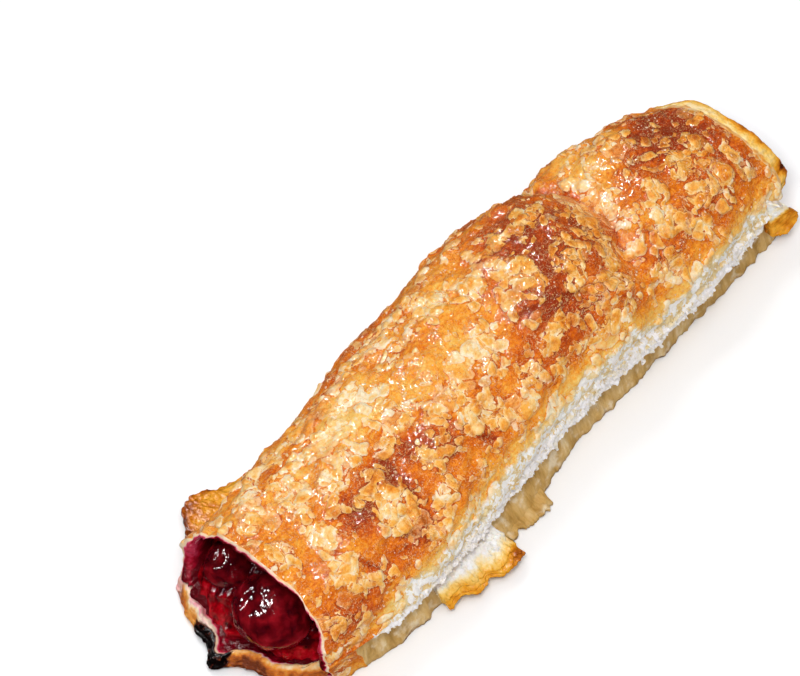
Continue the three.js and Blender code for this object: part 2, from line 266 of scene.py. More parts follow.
# %% Where the stick ends
NEAR_LIP, FAR_LIP = 10.6, 5  # how far the lower layer reaches out of each mouth
SCORCHED_TIP = 4.8  # and the burnt point further still
FAR_END = 81.4
FOLD_X = 43  # where the fold behind the high hump crosses the middle
FOLD_BOW, FOLD_BOW_MOST = 0.02, 6  # it is bowed: nearer for each squared millimetre across
NEAR_HALF_WIDE, FAR_HALF_WIDE = 23.5, 26
TIP_AT, TIP_WIDTH = -0.5, 3.2  # of the scorched point, across
CHEEK_BULGE = 3.4  # the crust to the right of the near mouth swells out
FAR_SLANT, FAR_CUT_BACK = -0.12, 9  # the far mouth is cut at an angle
NOTCH = 3.5  # a bite out of the far end, above the seam
END_SHARE = 0.62  # of the half length: further out than this, the places follow the shape of the end


def low(z):
    return 1 - smooth(2, 15, z)


def ragged_cut(y, z):
    return 0.7 * np.sin(y * 0.9 + 1) + 0.4 * np.sin(y * 2.3 + z)


def near_edge(y, z):
    lip = NEAR_LIP * np.maximum(0, 1 - (y / NEAR_HALF_WIDE) ** 2) ** 0.8
    tip = SCORCHED_TIP * bell(y, TIP_AT, TIP_WIDTH) * (1 - smooth(2, 6, z))
    cheek = CHEEK_BULGE * smooth(12, 24, -y) * (1 - smooth(17, 29, z)) * smooth(2, 12, z)
    return -HALF_LENGTH - low(z) * (lip + ragged_cut(y, z)) - tip - cheek - 0.4 * np.sin(z * 0.5 + y * 0.3)


def far_edge(y, z):
    lip = FAR_LIP * np.maximum(0, 1 - (y / FAR_HALF_WIDE) ** 2) ** 0.6
    slant = FAR_SLANT * y - FAR_CUT_BACK * smooth(2, 18, y)
    notch = NOTCH * bell(z, 10.5, 3) * smooth(20, 25, -y)
    ragged = 0.6 * np.sin(y * 1.1) + 0.4 * np.sin(y * 2.7 + z)
    return FAR_END + slant - notch + low(z) * (lip + ragged)


def along(s, y, z):
    """Where a section's place lies along the stick: s is -1 at the near end and 1 at the far end."""
    x = s * HALF_LENGTH
    to_near = 1 - smooth(-HALF_LENGTH, -HALF_LENGTH * END_SHARE, x)
    to_far = smooth(HALF_LENGTH * END_SHARE, HALF_LENGTH, x)
    bow = np.minimum(FOLD_BOW_MOST, FOLD_BOW * (y - 3) ** 2) * bell(x, FOLD_X, 20)
    near, far = near_edge(y, z), far_edge(y, z)
    return x + to_near * (near + HALF_LENGTH) + to_far * (far - HALF_LENGTH) - bow


print("the near lip reaches to", round(float(near_edge(0.0, 0.0)), 1), "mm")

# %% [markdown]
# ## Lumps, the fold and creases
# Puffed pastry has soft lumps from the fruit below, one deep fold where it sank behind the high hump, and
# fine creases where the crust gave way. The lumps are a few crossing waves. Creases are short lines, drawn
# in the crust's own map: how far along the stick, and how far round it.

# %% Relief of the crust
LUMP = 0.55  # height of the soft lumps
GIRTH = 150  # round the outside
FOLD_DEPTH = 1.6
CREASES = [  # places on the crust's map, then depth
    ([(4, 0.345), (12, 0.315), (20, 0.285), (27, 0.268), (33, 0.285)], 0.55),
    ([(10, 0.445), (17, 0.425), (25, 0.41), (31, 0.40)], 0.4),
    ([(-61, 0.335), (-58, 0.30), (-56.5, 0.25), (-53, 0.215)], 0.35),
    ([(-46, 0.345), (-46.5, 0.30), (-49, 0.255), (-50, 0.215)], 0.4),
    ([(-71, 0.30), (-69, 0.26), (-66, 0.225)], 0.3),
    ([(44, 0.31), (46.5, 0.29), (48, 0.27)], 0.45),
    ([(56, 0.385), (63, 0.375), (70, 0.385), (77, 0.40)], 0.35),
    ([(-30, 0.35), (-27, 0.31), (-25.5, 0.26), (-22, 0.22)], 0.3),
]


def lumps(x, girth):
    height = 0
    for k in range(1, 8):
        turn = 2.4 * k
        wave = (0.24 * k**0.85) * (x * math.cos(turn) + girth * math.sin(turn)) + 1.7 * k
        height = height + np.sin(wave) / k**0.8
    return LUMP * height


def distance_to_line(x, girth, points):
    """How far map places are from a broken line, in millimetres."""
    nearest = np.full(np.broadcast(x, girth).shape, 99.0)
    for (xa, ta), (xb, tb) in zip(points, points[1:]):
        ax, ag, bx, bg = xa, ta * GIRTH, xb, tb * GIRTH
        length = (bx - ax) ** 2 + (bg - ag) ** 2
        k = np.clip(((x - ax) * (bx - ax) + (girth - ag) * (bg - ag)) / length, 0, 1)
        far = np.hypot(x - mix(ax, bx, k), girth - mix(ag, bg, k))
        nearest = np.minimum(nearest, far)
    return nearest


def fold_line(s, t):
    """How much of the fold a place has, wide and at its sharp bottom."""
    off = s * HALF_LENGTH - FOLD_X
    reach = smooth(0.24, 0.34, t)
    return bell(off, 0, 2.6) * reach, bell(off, 0.4, 0.7) * reach


def crust_relief(s, t, x):
    """How far the crust stands out of the plain section, and how much of a crease it has."""
    on_crust = smooth(0, BAND, t) * (1 - smooth(DOME, WALL, t))
    wide, sharp = fold_line(s, t)
    relief = lumps(x, GIRTH * t) - FOLD_DEPTH * wide - 0.5 * sharp
    crease = sharp
    shaky_x = x + 0.7 * wander(x / 3, GIRTH * t / 3, 4)
    shaky_girth = GIRTH * t + 0.7 * wander(x / 3, GIRTH * t / 3, 9)
    for points, depth in CREASES:
        off = distance_to_line(shaky_x, shaky_girth, points)
        relief = relief - depth * (bell(off, 0, 0.7) - 0.35 * bell(off, 1.6, 0.9))
        crease = np.maximum(crease, bell(off, 0, 0.8))
    return on_crust * relief, on_crust * crease


print("creases:", len(CREASES))

# %% [markdown]
# ## The browning map
# Heat darkens what stands highest and driest. On the real stick the humps are a deep red-brown, the saddle
# behind the fold and the flank in front stay golden, and the side near the seam is nearly white. Painting
# this by hand would be lost with the next change of the mesh, so it is a list of soft patches on the crust's
# map: the place, how far each reaches along and round, and how much it darkens or lightens. A second list has
# the places where the top layer has lifted into pale flakes.

# %% Browning and flakes
BROWN_PATCHES = [  # along, round, reach along, reach round, amount
    (-76, 0.30, 9, 0.14, 0.06),
    (-78, 0.16, 9, 0.07, 0.22),
    (-66, 0.19, 12, 0.05, 0.22),
    (-60, 0.315, 6, 0.035, 0.36),
    (-52, 0.335, 7, 0.022, 0.36),
    (-47, 0.285, 3, 0.06, 0.34),
    (-50, 0.22, 9, 0.03, 0.20),
    (-33, 0.30, 6, 0.035, 0.34),
    (-38, 0.335, 5, 0.03, 0.30),
    (-45, 0.43, 20, 0.05, -0.30),
    (-66, 0.50, 14, 0.05, 0.08),
    (-30, 0.53, 30, 0.03, 0.06),
    (-12, 0.375, 14, 0.035, -0.14),
    (-22, 0.425, 6, 0.02, 0.12),
    (-17, 0.29, 10, 0.04, 0.14),
    (-22, 0.235, 8, 0.03, 0.16),
    (-3, 0.29, 6, 0.03, 0.14),
    (0, 0.225, 8, 0.03, 0.20),
    (-5, 0.46, 8, 0.03, -0.20),
    (20, 0.375, 13, 0.075, 0.46),
    (12, 0.30, 10, 0.04, 0.25),
    (36, 0.35, 6, 0.07, 0.40),
    (20, 0.235, 13, 0.04, 0.34),
    (24, 0.48, 14, 0.04, 0.26),
    (38, 0.50, 5, 0.06, 0.22),
    (51, 0.46, 6, 0.06, -0.34),
    (50, 0.345, 5, 0.03, 0.06),
    (47, 0.27, 4, 0.03, 0.28),
    (70, 0.39, 14, 0.055, 0.46),
    (80, 0.34, 5, 0.09, 0.40),
    (66, 0.43, 6, 0.03, 0.20),
    (78, 0.47, 8, 0.05, 0.36),
    (66, 0.475, 7, 0.02, -0.20),
    (70, 0.28, 9, 0.05, 0.24),
    (58, 0.25, 8, 0.04, 0.18),
    (75, 0.19, 8, 0.03, 0.10),
    (45, 0.60, 60, 0.04, 0.10),
]
FLAKE_PATCHES = [  # along, round, reach along, reach round
    (-73, 0.27, 4.5, 0.024),
    (-73, 0.50, 4, 0.028),
    (-66, 0.41, 4, 0.030),
    (-70, 0.335, 3, 0.028),
    (-79, 0.43, 3, 0.020),
    (-80, 0.36, 3, 0.02),
    (-72, 0.232, 3, 0.02),
    (-65, 0.205, 3, 0.02),
    (-57.5, 0.375, 4, 0.016),
    (-51, 0.382, 4, 0.014),
    (-53, 0.285, 5.5, 0.045),
    (-57, 0.33, 2.5, 0.012),
    (-38, 0.29, 2.2, 0.03),
    (-40, 0.235, 3.5, 0.02),
    (-37, 0.455, 5, 0.020),
    (-33, 0.415, 4, 0.018),
    (-34, 0.37, 5, 0.016),
    (-48, 0.20, 4, 0.02),
    (-36, 0.16, 4, 0.02),
    (-29, 0.33, 2.5, 0.02),
    (-23, 0.285, 2.6, 0.032),
    (-20.5, 0.335, 2.6, 0.018),
    (-17.5, 0.255, 3, 0.03),
    (-8, 0.345, 4.5, 0.026),
    (-4, 0.255, 4, 0.018),
    (4.5, 0.262, 3, 0.02),
    (10, 0.272, 3.6, 0.018),
    (3.5, 0.205, 3.4, 0.026),
    (-9, 0.21, 3, 0.02),
    (15, 0.195, 4.5, 0.022),
    (25, 0.20, 3, 0.022),
    (30, 0.205, 4.6, 0.026),
    (34, 0.262, 5, 0.024),
    (25, 0.345, 4.5, 0.035),
    (14, 0.37, 3, 0.03),
    (22, 0.305, 4, 0.016),
    (27, 0.435, 4.5, 0.024),
    (17, 0.445, 3.5, 0.018),
    (11, 0.405, 2.5, 0.022),
    (4, 0.42, 3.5, 0.025),
    (-22, 0.45, 5, 0.018),
    (-6, 0.455, 5, 0.026),
    (38, 0.31, 3.4, 0.03),
    (38, 0.385, 3, 0.03),
    (46, 0.315, 3.2, 0.03),
    (46, 0.405, 2.6, 0.03),
    (56, 0.325, 3.6, 0.03),
    (50, 0.205, 3.8, 0.025),
    (56, 0.275, 3.6, 0.026),
    (60, 0.225, 3, 0.022),
    (66.5, 0.335, 4.4, 0.026),
    (65, 0.275, 3.4, 0.024),
    (73, 0.275, 2.8, 0.034),
    (79, 0.245, 2.6, 0.030),
    (75, 0.345, 2.8, 0.024),
    (70, 0.225, 2.8, 0.022),
    (62, 0.44, 6, 0.012),
    (-60, 0.46, 8, 0.02),
    (-58, 0.53, 14, 0.02),
    (-20, 0.52, 16, 0.022),
]


def browning(x, t):
    amount = 0.50 + 0.10 * wander(x / 9, GIRTH * t / 9, 3)
    for px, pt, rx, rt, more in BROWN_PATCHES:
        amount = amount + more * np.exp(-(((x - px) / rx) ** 2) - ((t - pt) / rt) ** 2)
    side = smooth(0.12, 0.21, t + 0.05 * (1 - smooth(-72, -62, x)))
    amount = np.clip(amount * mix(0.25, 1, side), 0, 1)
    foot = np.maximum(1 - smooth(0.06, 0.2, t), smooth(BASE, SIDE_END, t)) * (1 - smooth(-75, -66, x))
    return mix(amount, 0.62 + 0.12 * wander(x / 3, t * 40, 5), foot)


def flakiness(x, t):
    amount = 0 * x
    for px, pt, rx, rt in FLAKE_PATCHES:
        far = ((x - px) / rx) ** 2 + ((t - pt) / rt) ** 2
        amount = np.maximum(amount, 1 - smooth(0.45, 1.7, far))
    return amount


def pale_start(x):
    """How far up the side the pale dough reaches, as a share of the way round."""
    cheek = 1 - smooth(-78, -60, x)
    return 0.135 - 0.20 * cheek - 0.03 * smooth(70, 80, x) + 0.012 * wander(x / 5, 0, 6)


def pallor(x, t):
    """How much of a place belongs to the white side above the seam."""
    return 1 - smooth(-0.03, 0.03, t - pale_start(x))


print("browning patches:", len(BROWN_PATCHES), "flake patches:", len(FLAKE_PATCHES))

# %% [markdown]
# ## Nodes in a few words
# Materials and Geometry Nodes are both trees of nodes. Writing each link by hand hides what a tree does, so
# one helper adds a node, sets its sockets and gives back the socket that comes out. The same helper builds
# shader trees and geometry trees, which share their textures and their maths.

# %% Node helpers


def set_all(tree, sockets, values):
    """Fills sockets, by name or number, with values or with what comes out of other nodes."""
    for key, value in values.items():
        if isinstance(value, bpy.types.NodeSocket):
            tree.links.new(value, sockets[key])
        else:
            sockets[key].default_value = value


def add(tree, kind, sockets=None, out=0, **settings):
    """A new node with its settings made and its sockets filled. Gives one of its outputs."""
    node = tree.nodes.new(kind)
    for name, value in settings.items():
        setattr(node, name, value)
    set_all(tree, node.inputs, sockets or {})
    return node.outputs[out]


def calc(tree, operation, a, b=0.0, c=0.0):
    return add(tree, "ShaderNodeMath", {0: a, 1: b, 2: c}, operation=operation)


def product(tree, a, b):
    return calc(tree, "MULTIPLY", a, b)


def total(tree, *values):
    made = values[0]
    for value in values[1:]:
        made = calc(tree, "ADD", made, value)
    return made


def vector(tree, operation, a, b=(0, 0, 0), scale=1.0):
    sockets = {0: a, 3: scale} if operation == "SCALE" else {0: a, 1: b}
    out = 1 if operation in ("DOT_PRODUCT", "LENGTH", "DISTANCE") else 0
    return add(tree, "ShaderNodeVectorMath", sockets, out, operation=operation)


def step(tree, value, start, end, low_value=0.0, high_value=1.0):
    """A soft step from start to end."""
    sockets = {0: value, 1: start, 2: end, 3: low_value, 4: high_value}
    return add(tree, "ShaderNodeMapRange", sockets, interpolation_type="SMOOTHSTEP")


def tint(tree, share, a, b):
    """A mix of two colours."""
    return add(tree, "ShaderNodeMix", {0: share, 6: a, 7: b}, 2, data_type="RGBA")


def noise(tree, place, size, detail=2.0, out="Fac", roughness=0.5):
    """Noise with bumps of a size in millimetres."""
    sockets = {"Vector": place, "Scale": 1 / size, "Detail": detail, "Roughness": roughness}
    return add(tree, "ShaderNodeTexNoise", sockets, out)


def cells(tree, place, size, out="Position"):
    """Irregular cells of a size in millimetres."""
    return add(tree, "ShaderNodeTexVoronoi", {"Vector": place, "Scale": 1 / size}, out)


def dice(tree, place, out="Value"):
    """A random value for each different place."""
    return add(tree, "ShaderNodeTexWhiteNoise", {"Vector": place}, out, noise_dimensions="3D")


def colour(code):
    """A colour as it looks on a screen, #rrggbb, as the linear colour that shaders mix."""
    values = [int(code[i : i + 2], 16) / 255 for i in (1, 3, 5)]
    linear = [v / 12.92 if v <= 0.04045 else ((v + 0.055) / 1.055) ** 2.4 for v in values]
    return (*linear, 1.0)


def ramp(tree, share, *stops):
    """Colours along a share: each stop is a place and a colour code."""
    node = tree.nodes.new("ShaderNodeValToRGB")
    points = node.color_ramp.elements
    while len(points) < len(stops):
        points.new(0.5)
    for point, (place, code) in zip(points, stops):
        point.position = place
        point.color = colour(code)
    tree.links.new(share, node.inputs[0])
    return node.outputs[0]


print("white is", tuple(round(v, 2) for v in colour("#FFFFFF")))

# %% Node groups
TREE_KINDS = ("ShaderNodeTree", "GeometryNodeTree")


def new_group(kind, name, inputs, outputs):
    """An empty group: inputs are (name, type, value). Gives the tree, what comes in and what goes out."""
    tree = bpy.data.node_groups.new(name, kind)
    for label, socket, value in inputs:
        made = tree.interface.new_socket(label, in_out="INPUT", socket_type=f"NodeSocket{socket}")
        if value is not None:
            made.default_value = value
    for label, socket in outputs:
        tree.interface.new_socket(label, in_out="OUTPUT", socket_type=f"NodeSocket{socket}")
    entry, leave = tree.nodes.new("NodeGroupInput"), tree.nodes.new("NodeGroupOutput")
    return tree, entry.outputs, leave.inputs


def use(tree, group, sockets):
    """A group placed in a tree of the same kind. Gives all its outputs."""
    kind = "GeometryNodeGroup" if tree.bl_idname == "GeometryNodeTree" else "ShaderNodeGroup"
    return add(tree, kind, sockets, node_tree=group).node.outputs


def warped(tree, place, size, amount, detail=1.0):
    """Places pushed about by noise, so that a pattern read there loses its straight edges."""
    push = vector(tree, "SUBTRACT", noise(tree, place, size, detail, "Color"), (0.5, 0.5, 0.5))
    return vector(tree, "ADD", place, vector(tree, "SCALE", push, scale=amount))


def deviation(tree, place, size, amount, detail=3.0, roughness=0.5):
    """Noise around zero, up to about half of an amount each way."""
    value = noise(tree, place, size, detail, roughness=roughness)
    return calc(tree, "MULTIPLY_ADD", value, amount, -amount / 2)


print("groups are built as:", TREE_KINDS)

# %% [markdown]
# ## The pattern of blisters
# When puff pastry bakes, its top sheet tears into pale scales that sit on the darker crust below. A scale is
# a clump of soft round lobes with a scalloped outline. Cells give the lobes: each cell is a disc around its
# own middle, and broad noise, read at that middle, says whether the cell is there, so that lobes come in
# clumps. How deep a place lies inside its disc tells the rest: at the edge the dry curled rim, which also
# carries a painted highlight, just outside it the gap, where a painted shadow lies, and in the middle the
# thick part. Three such layers lie over each other, from wide see-through bubbles to small crumbs. The group
# is built twice, as a shader group and as a geometry group, because the same scales have to be raised in the
# mesh and coloured in the material.

# %% The blister group
SCALE_LAYERS = (  # size of a clump, size of a lobe, level, height, how well it covers
    (12.0, 5.5, 0.60, 0.6, 0.3),
    (4.0, 1.5, 0.60, 0.6, 0.85),
    (6.5, 2.8, 0.575, 1.0, 0.95),
)
FLAKY_SHARE, DRAW_SHARE = 0.2, 0.1  # how much the flake patches and plain chance add to the broad noise
DISC, DISC_SPREAD = 0.5, 0.24  # radius of a lobe's disc, and the next widths, in sizes of a lobe
RIM_AND_HIGHLIGHT_WIDTH, SHADOW_GAP_WIDTH, EDGE_WIDTH, FLANK_WIDTH = 0.11, 0.16, 0.04, 0.1
DOT, DOT_HEIGHT = 1.1, 0.35  # small single blisters


def over(group, share, below, above):
    """A value laid over another."""
    return calc(group, "MULTIPLY_ADD", calc(group, "SUBTRACT", above, below), share, below)


def scale_layer(group, place, flaky, clump, lobe, level):
    """One layer of scales: gives its mask, height, rim (painted highlight too), gap (painted shadow), random
    tone and thickness.
    """
    middle = cells(group, place, lobe)
    draw = dice(group, middle)
    wanted = calc(group, "MULTIPLY_ADD", flaky, FLAKY_SHARE, noise(group, middle, clump, 1.5))
    wanted = calc(group, "MULTIPLY_ADD", draw, DRAW_SHARE, wanted)
    present = step(group, wanted, level + 0.05, level + 0.055)
    disc = calc(group, "MULTIPLY_ADD", draw, DISC_SPREAD, DISC)
    inside = calc(group, "SUBTRACT", disc, cells(group, place, lobe, "Distance"))
    mask = product(group, present, step(group, inside, 0.0, EDGE_WIDTH))
    # the rim: the paler dry edge of a lobe, where a painted highlight is laid too
    rim = product(group, mask, step(group, inside, RIM_AND_HIGHLIGHT_WIDTH, 0.6 * RIM_AND_HIGHLIGHT_WIDTH))
    # painted shadow: the gap just outside a lobe's edge, which darkens the crust there
    gap = product(group, present, step(group, inside, -SHADOW_GAP_WIDTH, 0.0))
    flank = product(group, present, step(group, inside, -FLANK_WIDTH, 0.0))
    height = product(group, flank, step(group, inside, -0.1, 0.32, 0.3, 1.0))
    thick = step(group, inside, 0.06, 0.34)
    return mask, height, rim, gap, draw, thick


def blister_group(kind):
    group, into, out = new_group(
        kind,
        "blisters " + kind,
        [("Place", "Vector", None), ("Flaky", "Float", 0.0)],
        [(label, "Float") for label in ("Scale", "Height", "Rim And Highlight", "Gap Shadow", "Tone", "Thick", "Dot")],
    )
    place = warped(group, warped(group, into["Place"], 7.0, 5.0), 2.0, 1.7, 3.0)
    scale, height, rim, gap, tone, thick = 0.0, 0.0, 0.0, 0.0, 0.5, 0.0
    for clump, lobe, level, tall, covers in SCALE_LAYERS:
        layer = scale_layer(group, place, into["Flaky"], clump, lobe, level)
        mask, raised, edge, shadow, draw, middle = layer
        scale = over(group, mask, scale, covers)
        height = calc(group, "MAXIMUM", height, product(group, raised, tall))
        rim = calc(group, "MAXIMUM", over(group, mask, rim, 0.0), edge)
        gap = over(group, mask, calc(group, "MAXIMUM", gap, shadow), 0.0)
        tone, thick = over(group, mask, tone, draw), over(group, mask, thick, middle)
    near = warped(group, into["Place"], 0.8, 0.6)
    size = dice(group, cells(group, near, DOT))
    crowd = step(group, noise(group, into["Place"], 4.5, 2.0), 0.36, 0.6, 0.06, 0.34)
    dot = calc(group, "SUBTRACT", product(group, size, crowd), cells(group, near, DOT, "Distance"))
    dot = step(group, dot, 0.0, 0.08)
    height = calc(group, "MAXIMUM", height, product(group, dot, DOT_HEIGHT))
    made = (scale, height, rim, gap, tone, thick, dot)
    for name, socket in zip(("Scale", "Height", "Rim And Highlight", "Gap Shadow", "Tone", "Thick", "Dot"), made):
        group.links.new(socket, out[name])
    return group


BLISTERS = {kind: blister_group(kind) for kind in TREE_KINDS}
print("blister groups:", [group.name for group in BLISTERS.values()])

# %% [markdown]
# ## The pattern of crumbs
# The side above the seam never browned: it is a torn, crumbly mass of thin white layers. Each cell of this
# pattern is a small plate with its own height and its own tilt, which gives the sharp, broken steps of real
# layers. A finer set of cells breaks the plates up again.

# %% The crumb group
PLATES = ((1.8, 0.6), (0.8, 0.4))  # size, height


def crumb_group(kind):
    group, into, out = new_group(
        kind, "crumbs " + kind, [("Place", "Vector", None)], [("Height", "Float"), ("Tone", "Float")]
    )
    place = warped(group, into["Place"], 1.2, 1.4, 2.0)
    heights, tones = [], []
    for size, tall in PLATES:
        middle = cells(group, place, size)
        lean = vector(group, "SUBTRACT", dice(group, middle, "Color"), (0.5, 0.5, 0.5))
        off = vector(group, "SUBTRACT", place, middle)
        tilted = calc(group, "DIVIDE", vector(group, "DOT_PRODUCT", off, lean), size)
        draw = dice(group, middle)
        heights.append(product(group, calc(group, "ADD", draw, tilted), tall))
        tones.append(draw)
    group.links.new(calc(group, "ADD", *heights), out["Height"])
    tone = calc(group, "MULTIPLY_ADD", tones[1], 0.4, product(group, tones[0], 0.6))
    group.links.new(tone, out["Tone"])
    return group


CRUMBS = {kind: crumb_group(kind) for kind in TREE_KINDS}
print("crumb groups:", [group.name for group in CRUMBS.values()])

# %% [markdown]
# ## Materials of the pastry
# Every pastry material reads the place on the unraised surface, which the meshes carry as the attribute
# `rest` in millimetres, so that colours stay on the scales that they belong to.

# %% Material helpers


def new_material(name):
    """An empty material with one shader: gives the material, its tree and the shader's sockets."""
    material = bpy.data.materials.new(name)
    material.use_nodes = True
    tree = material.node_tree
    shader = tree.nodes["Principled BSDF"]
    return material, tree, shader.inputs


def attribute(tree, name, out="Fac"):
    return add(tree, "ShaderNodeAttribute", out=out, attribute_name=name)


def bumped(tree, height, distance):
    """A normal for relief that is too fine for the mesh. Distance is in millimetres."""
    return add(tree, "ShaderNodeBump", {"Height": height, "Distance": distance / 1000})


# %% [markdown]
# ### Baked crust
# The crust is the star of this piece. Its ground runs from cream through gold and amber to a deep red-brown,
# streaked along the stick, with painted shade in its creases and a painted shadow round each scale. The
# scales on it are peach and duller than the ground, palest at their outlines, where the dry edge also carries
# a painted highlight, and golden where they are thin. The ground shines with fat, which makes hundreds of
# tiny sparkles on its wrinkled skin. Towards the torn side the browning gives way to butter-coloured dough
# with white plates.

# %% Baked crust
GROUND = (
    (0.0, "#FFDE98"), (0.2, "#FCC560"), (0.38, "#F8A436"), (0.55, "#E97D14"), (0.72, "#D25C0E"),
    (0.87, "#BA450E"), (1.0, "#983210"),
)
SCALES = ((0.0, "#FFEDCC"), (0.22, "#FFD995"), (0.48, "#FBB650"), (0.74, "#EE9028"), (1.0, "#CE6414"))
BUTTER = ((0.0, "#E2BB76"), (0.35, "#EED6A2"), (0.6, "#F5E6C8"), (1.0, "#FBF5EC"))


def baked_crust():
    material, tree, shader = new_material("baked_crust")
    place = attribute(tree, "rest", "Vector")
    pale, flaky = attribute(tree, "pale"), attribute(tree, "flaky")
    blister = use(tree, BLISTERS["ShaderNodeTree"], {"Place": place, "Flaky": flaky})
    crumbs = use(tree, CRUMBS["ShaderNodeTree"], {"Place": place})
    stretched = warped(tree, vector(tree, "MULTIPLY", place, (0.3, 1.0, 1.0)), 2.5, 1.6)
    streaks = deviation(tree, stretched, 0.8, 0.5, 3.0, 0.6)
    wavy = warped(tree, place, 1.2, 1.0, 2.0)
    fine = noise(tree, wavy, 0.42, 2.0, roughness=0.6)
    bubbles = noise(tree, wavy, 0.9, 3.0, roughness=0.65)

    heat = total(
        tree,
        attribute(tree, "brown"),
        deviation(tree, place, 5.0, 0.5),
        calc(tree, "MULTIPLY_ADD", bubbles, 0.75, -0.375),
        streaks,
        # painted shade: the creases and the fold are darkened
        product(tree, attribute(tree, "crease"), 0.3),
        # painted shadow round each scale, from its gap
        product(tree, blister["Gap Shadow"], 0.22),
    )
    ground = ramp(tree, heat, *GROUND)
    scale_heat = total(
        tree,
        calc(tree, "MULTIPLY_ADD", heat, 0.62, 0.05),
        calc(tree, "MULTIPLY_ADD", blister["Tone"], -0.5, 0.22),
        deviation(tree, place, 0.9, 0.4, 3.0, 0.6),
        deviation(tree, place, 3.0, 0.5, 1.0),
        calc(tree, "MULTIPLY_ADD", blister["Thick"], 0.26, -0.12),
        # lighter at the rim: the dry edge, and a painted highlight
        product(tree, blister["Rim And Highlight"], -0.08),
    )
    scale = ramp(tree, scale_heat, *SCALES)
    cover = total(tree, noise(tree, place, 2.4, 3.0, roughness=0.6), product(tree, flaky, 0.12))
    opaque = step(tree, cover, 0.36, 0.6, 0.45, 1.0)
    skin = tint(tree, product(tree, blister["Scale"], opaque), ground, scale)
    # paler again at the rim: the dry edge, and a painted highlight
    skin = tint(tree, product(tree, blister["Rim And Highlight"], 0.2), skin, colour("#FFDCA6"))
    crowd = step(tree, noise(tree, place, 5.0, 2.0), 0.36, 0.64, 0.12, 0.6)
    crowd = product(tree, crowd, step(tree, blister["Scale"], 0.0, 0.9, 1.0, 0.5))
    skin = tint(tree, product(tree, step(tree, fine, 0.54, 0.68), crowd), skin, colour("#FFCF86"))
    off_line = calc(tree, "ABSOLUTE", calc(tree, "SUBTRACT", noise(tree, wavy, 1.7, 2.0), 0.5))
    hair = product(tree, step(tree, off_line, 0.018, 0.004), crowd)
    skin = tint(tree, hair, skin, colour("#FFDDAA"))
    skin = tint(tree, product(tree, blister["Dot"], 0.75), skin, colour("#FFE9CE"))
    reach = total(tree, pale, deviation(tree, place, 3.0, 0.8), product(tree, crumbs["Tone"], 0.2))
    patchy = step(tree, reach, 0.4, 0.75)
    butter = ramp(tree, total(tree, crumbs["Tone"], deviation(tree, place, 4.0, 0.6)), *BUTTER)
    plates = step(tree, calc(tree, "MULTIPLY_ADD", pale, 0.22, crumbs["Tone"]), 0.62, 0.72)
    butter = tint(tree, plates, butter, colour("#FCF7F1"))
    skin = tint(tree, patchy, skin, butter)

    relief = total(
        tree,
        product(tree, fine, 0.9),
        bubbles,
        product(tree, hair, 0.4),
        product(tree, blister["Height"], 0.7),
        product(tree, product(tree, crumbs["Height"], 0.6), patchy),
    )
    rough = total(tree, step(tree, blister["Scale"], 0.0, 1.0, 0.3, 0.4), product(tree, patchy, 0.15))
    set_all(tree, shader, {
        "Base Color": skin,
        "Roughness": rough,
        "Specular IOR Level": 0.08,
        "Coat Weight": step(tree, patchy, 0.0, 1.0, 0.45, 0.15),
        "Coat Roughness": 0.05,
        "Normal": bumped(tree, relief, 0.45),
        "Subsurface Weight": 0.05,
        "Subsurface Radius": (1.0, 0.5, 0.25),
        "Subsurface Scale": 0.0012,
    })
    return material


CRUST = baked_crust()
print(CRUST.name, "has", len(CRUST.node_tree.nodes), "nodes")

# %% [markdown]
# ### The pale lower sheet
# Under the overhang the dough is thin, tan and a little see-through, drawn into a few upright folds with
# paler ridges. Where it touches the tray it has fried to a thin, broken, dark line.

# %% Pale lower sheet
TAN = ((0.3, "#A97E38"), (0.46, "#C79D56"), (0.6, "#D6B274"), (0.74, "#EBD6AC"))


def lower_sheet():
    material, tree, shader = new_material("lower_sheet")
    place = attribute(tree, "rest", "Vector")
    upright = warped(tree, vector(tree, "MULTIPLY", place, (1.0, 0.35, 0.3)), 2.0, 1.5)
    folds = noise(tree, upright, 2.6, 3.0, roughness=0.6)
    cloudy = noise(tree, place, 3.2, 3.0)
    height = add(tree, "ShaderNodeSeparateXYZ", {0: place}, 2)
    tan = ramp(tree, folds, *TAN)
    tan = tint(tree, step(tree, cloudy, 0.52, 0.72, 0.0, 0.8), tan, colour("#E3D2B2"))
    fried = calc(tree, "MULTIPLY_ADD", cloudy, 8.0, -3.5)  # how high the fried line reaches
    edge = calc(tree, "SUBTRACT", fried, height)
    tan = tint(tree, step(tree, edge, 0.0, 0.9, 0.0, 0.8), tan, colour("#9A6830"))
    tan = tint(tree, step(tree, edge, 0.8, 1.4), tan, colour("#5A3014"))
    relief = total(tree, folds, deviation(tree, place, 0.7, 0.35))
    set_all(tree, shader, {
        "Base Color": tan,
        "Roughness": step(tree, cloudy, 0.3, 0.7, 0.36, 0.52),
        "Normal": bumped(tree, relief, 0.5),
        "Subsurface Weight": 0.1,
        "Subsurface Radius": (1.0, 0.7, 0.35),
        "Subsurface Scale": 0.0015,
    })
    return material


SHEET = lower_sheet()
print(SHEET.name, "has", len(SHEET.node_tree.nodes), "nodes")

# %% [markdown]
# ### Stained crumb, with painted shade
# Inside the mouths the dough has drunk cherry juice: cream at the cut rim, then pink, then a wet deep red.
# Deep in the hollow that red turns nearly black, which is juice and painted shade under the roof. The
# attribute
# `stain_and_shade` says how far the juice has come at each place and, inside the hollow, how deep the painted
# shade is, `toast` how brown the dry dough is, and `scorch` where it has burnt black.

# %% Stained crumb
TOASTED = ((0.1, "#F3DFC4"), (0.32, "#F2CB94"), (0.5, "#EFA03C"), (0.7, "#CE6A18"), (0.95, "#7A3410"))
# the darkest stop is soaked dough and painted shade under the roof
JUICE_AND_SHADE = ((0.3, "#F0C8BC"), (0.45, "#E898A0"), (0.6, "#CE3A58"), (0.8, "#A20C26"), (1.0, "#5C030E"))


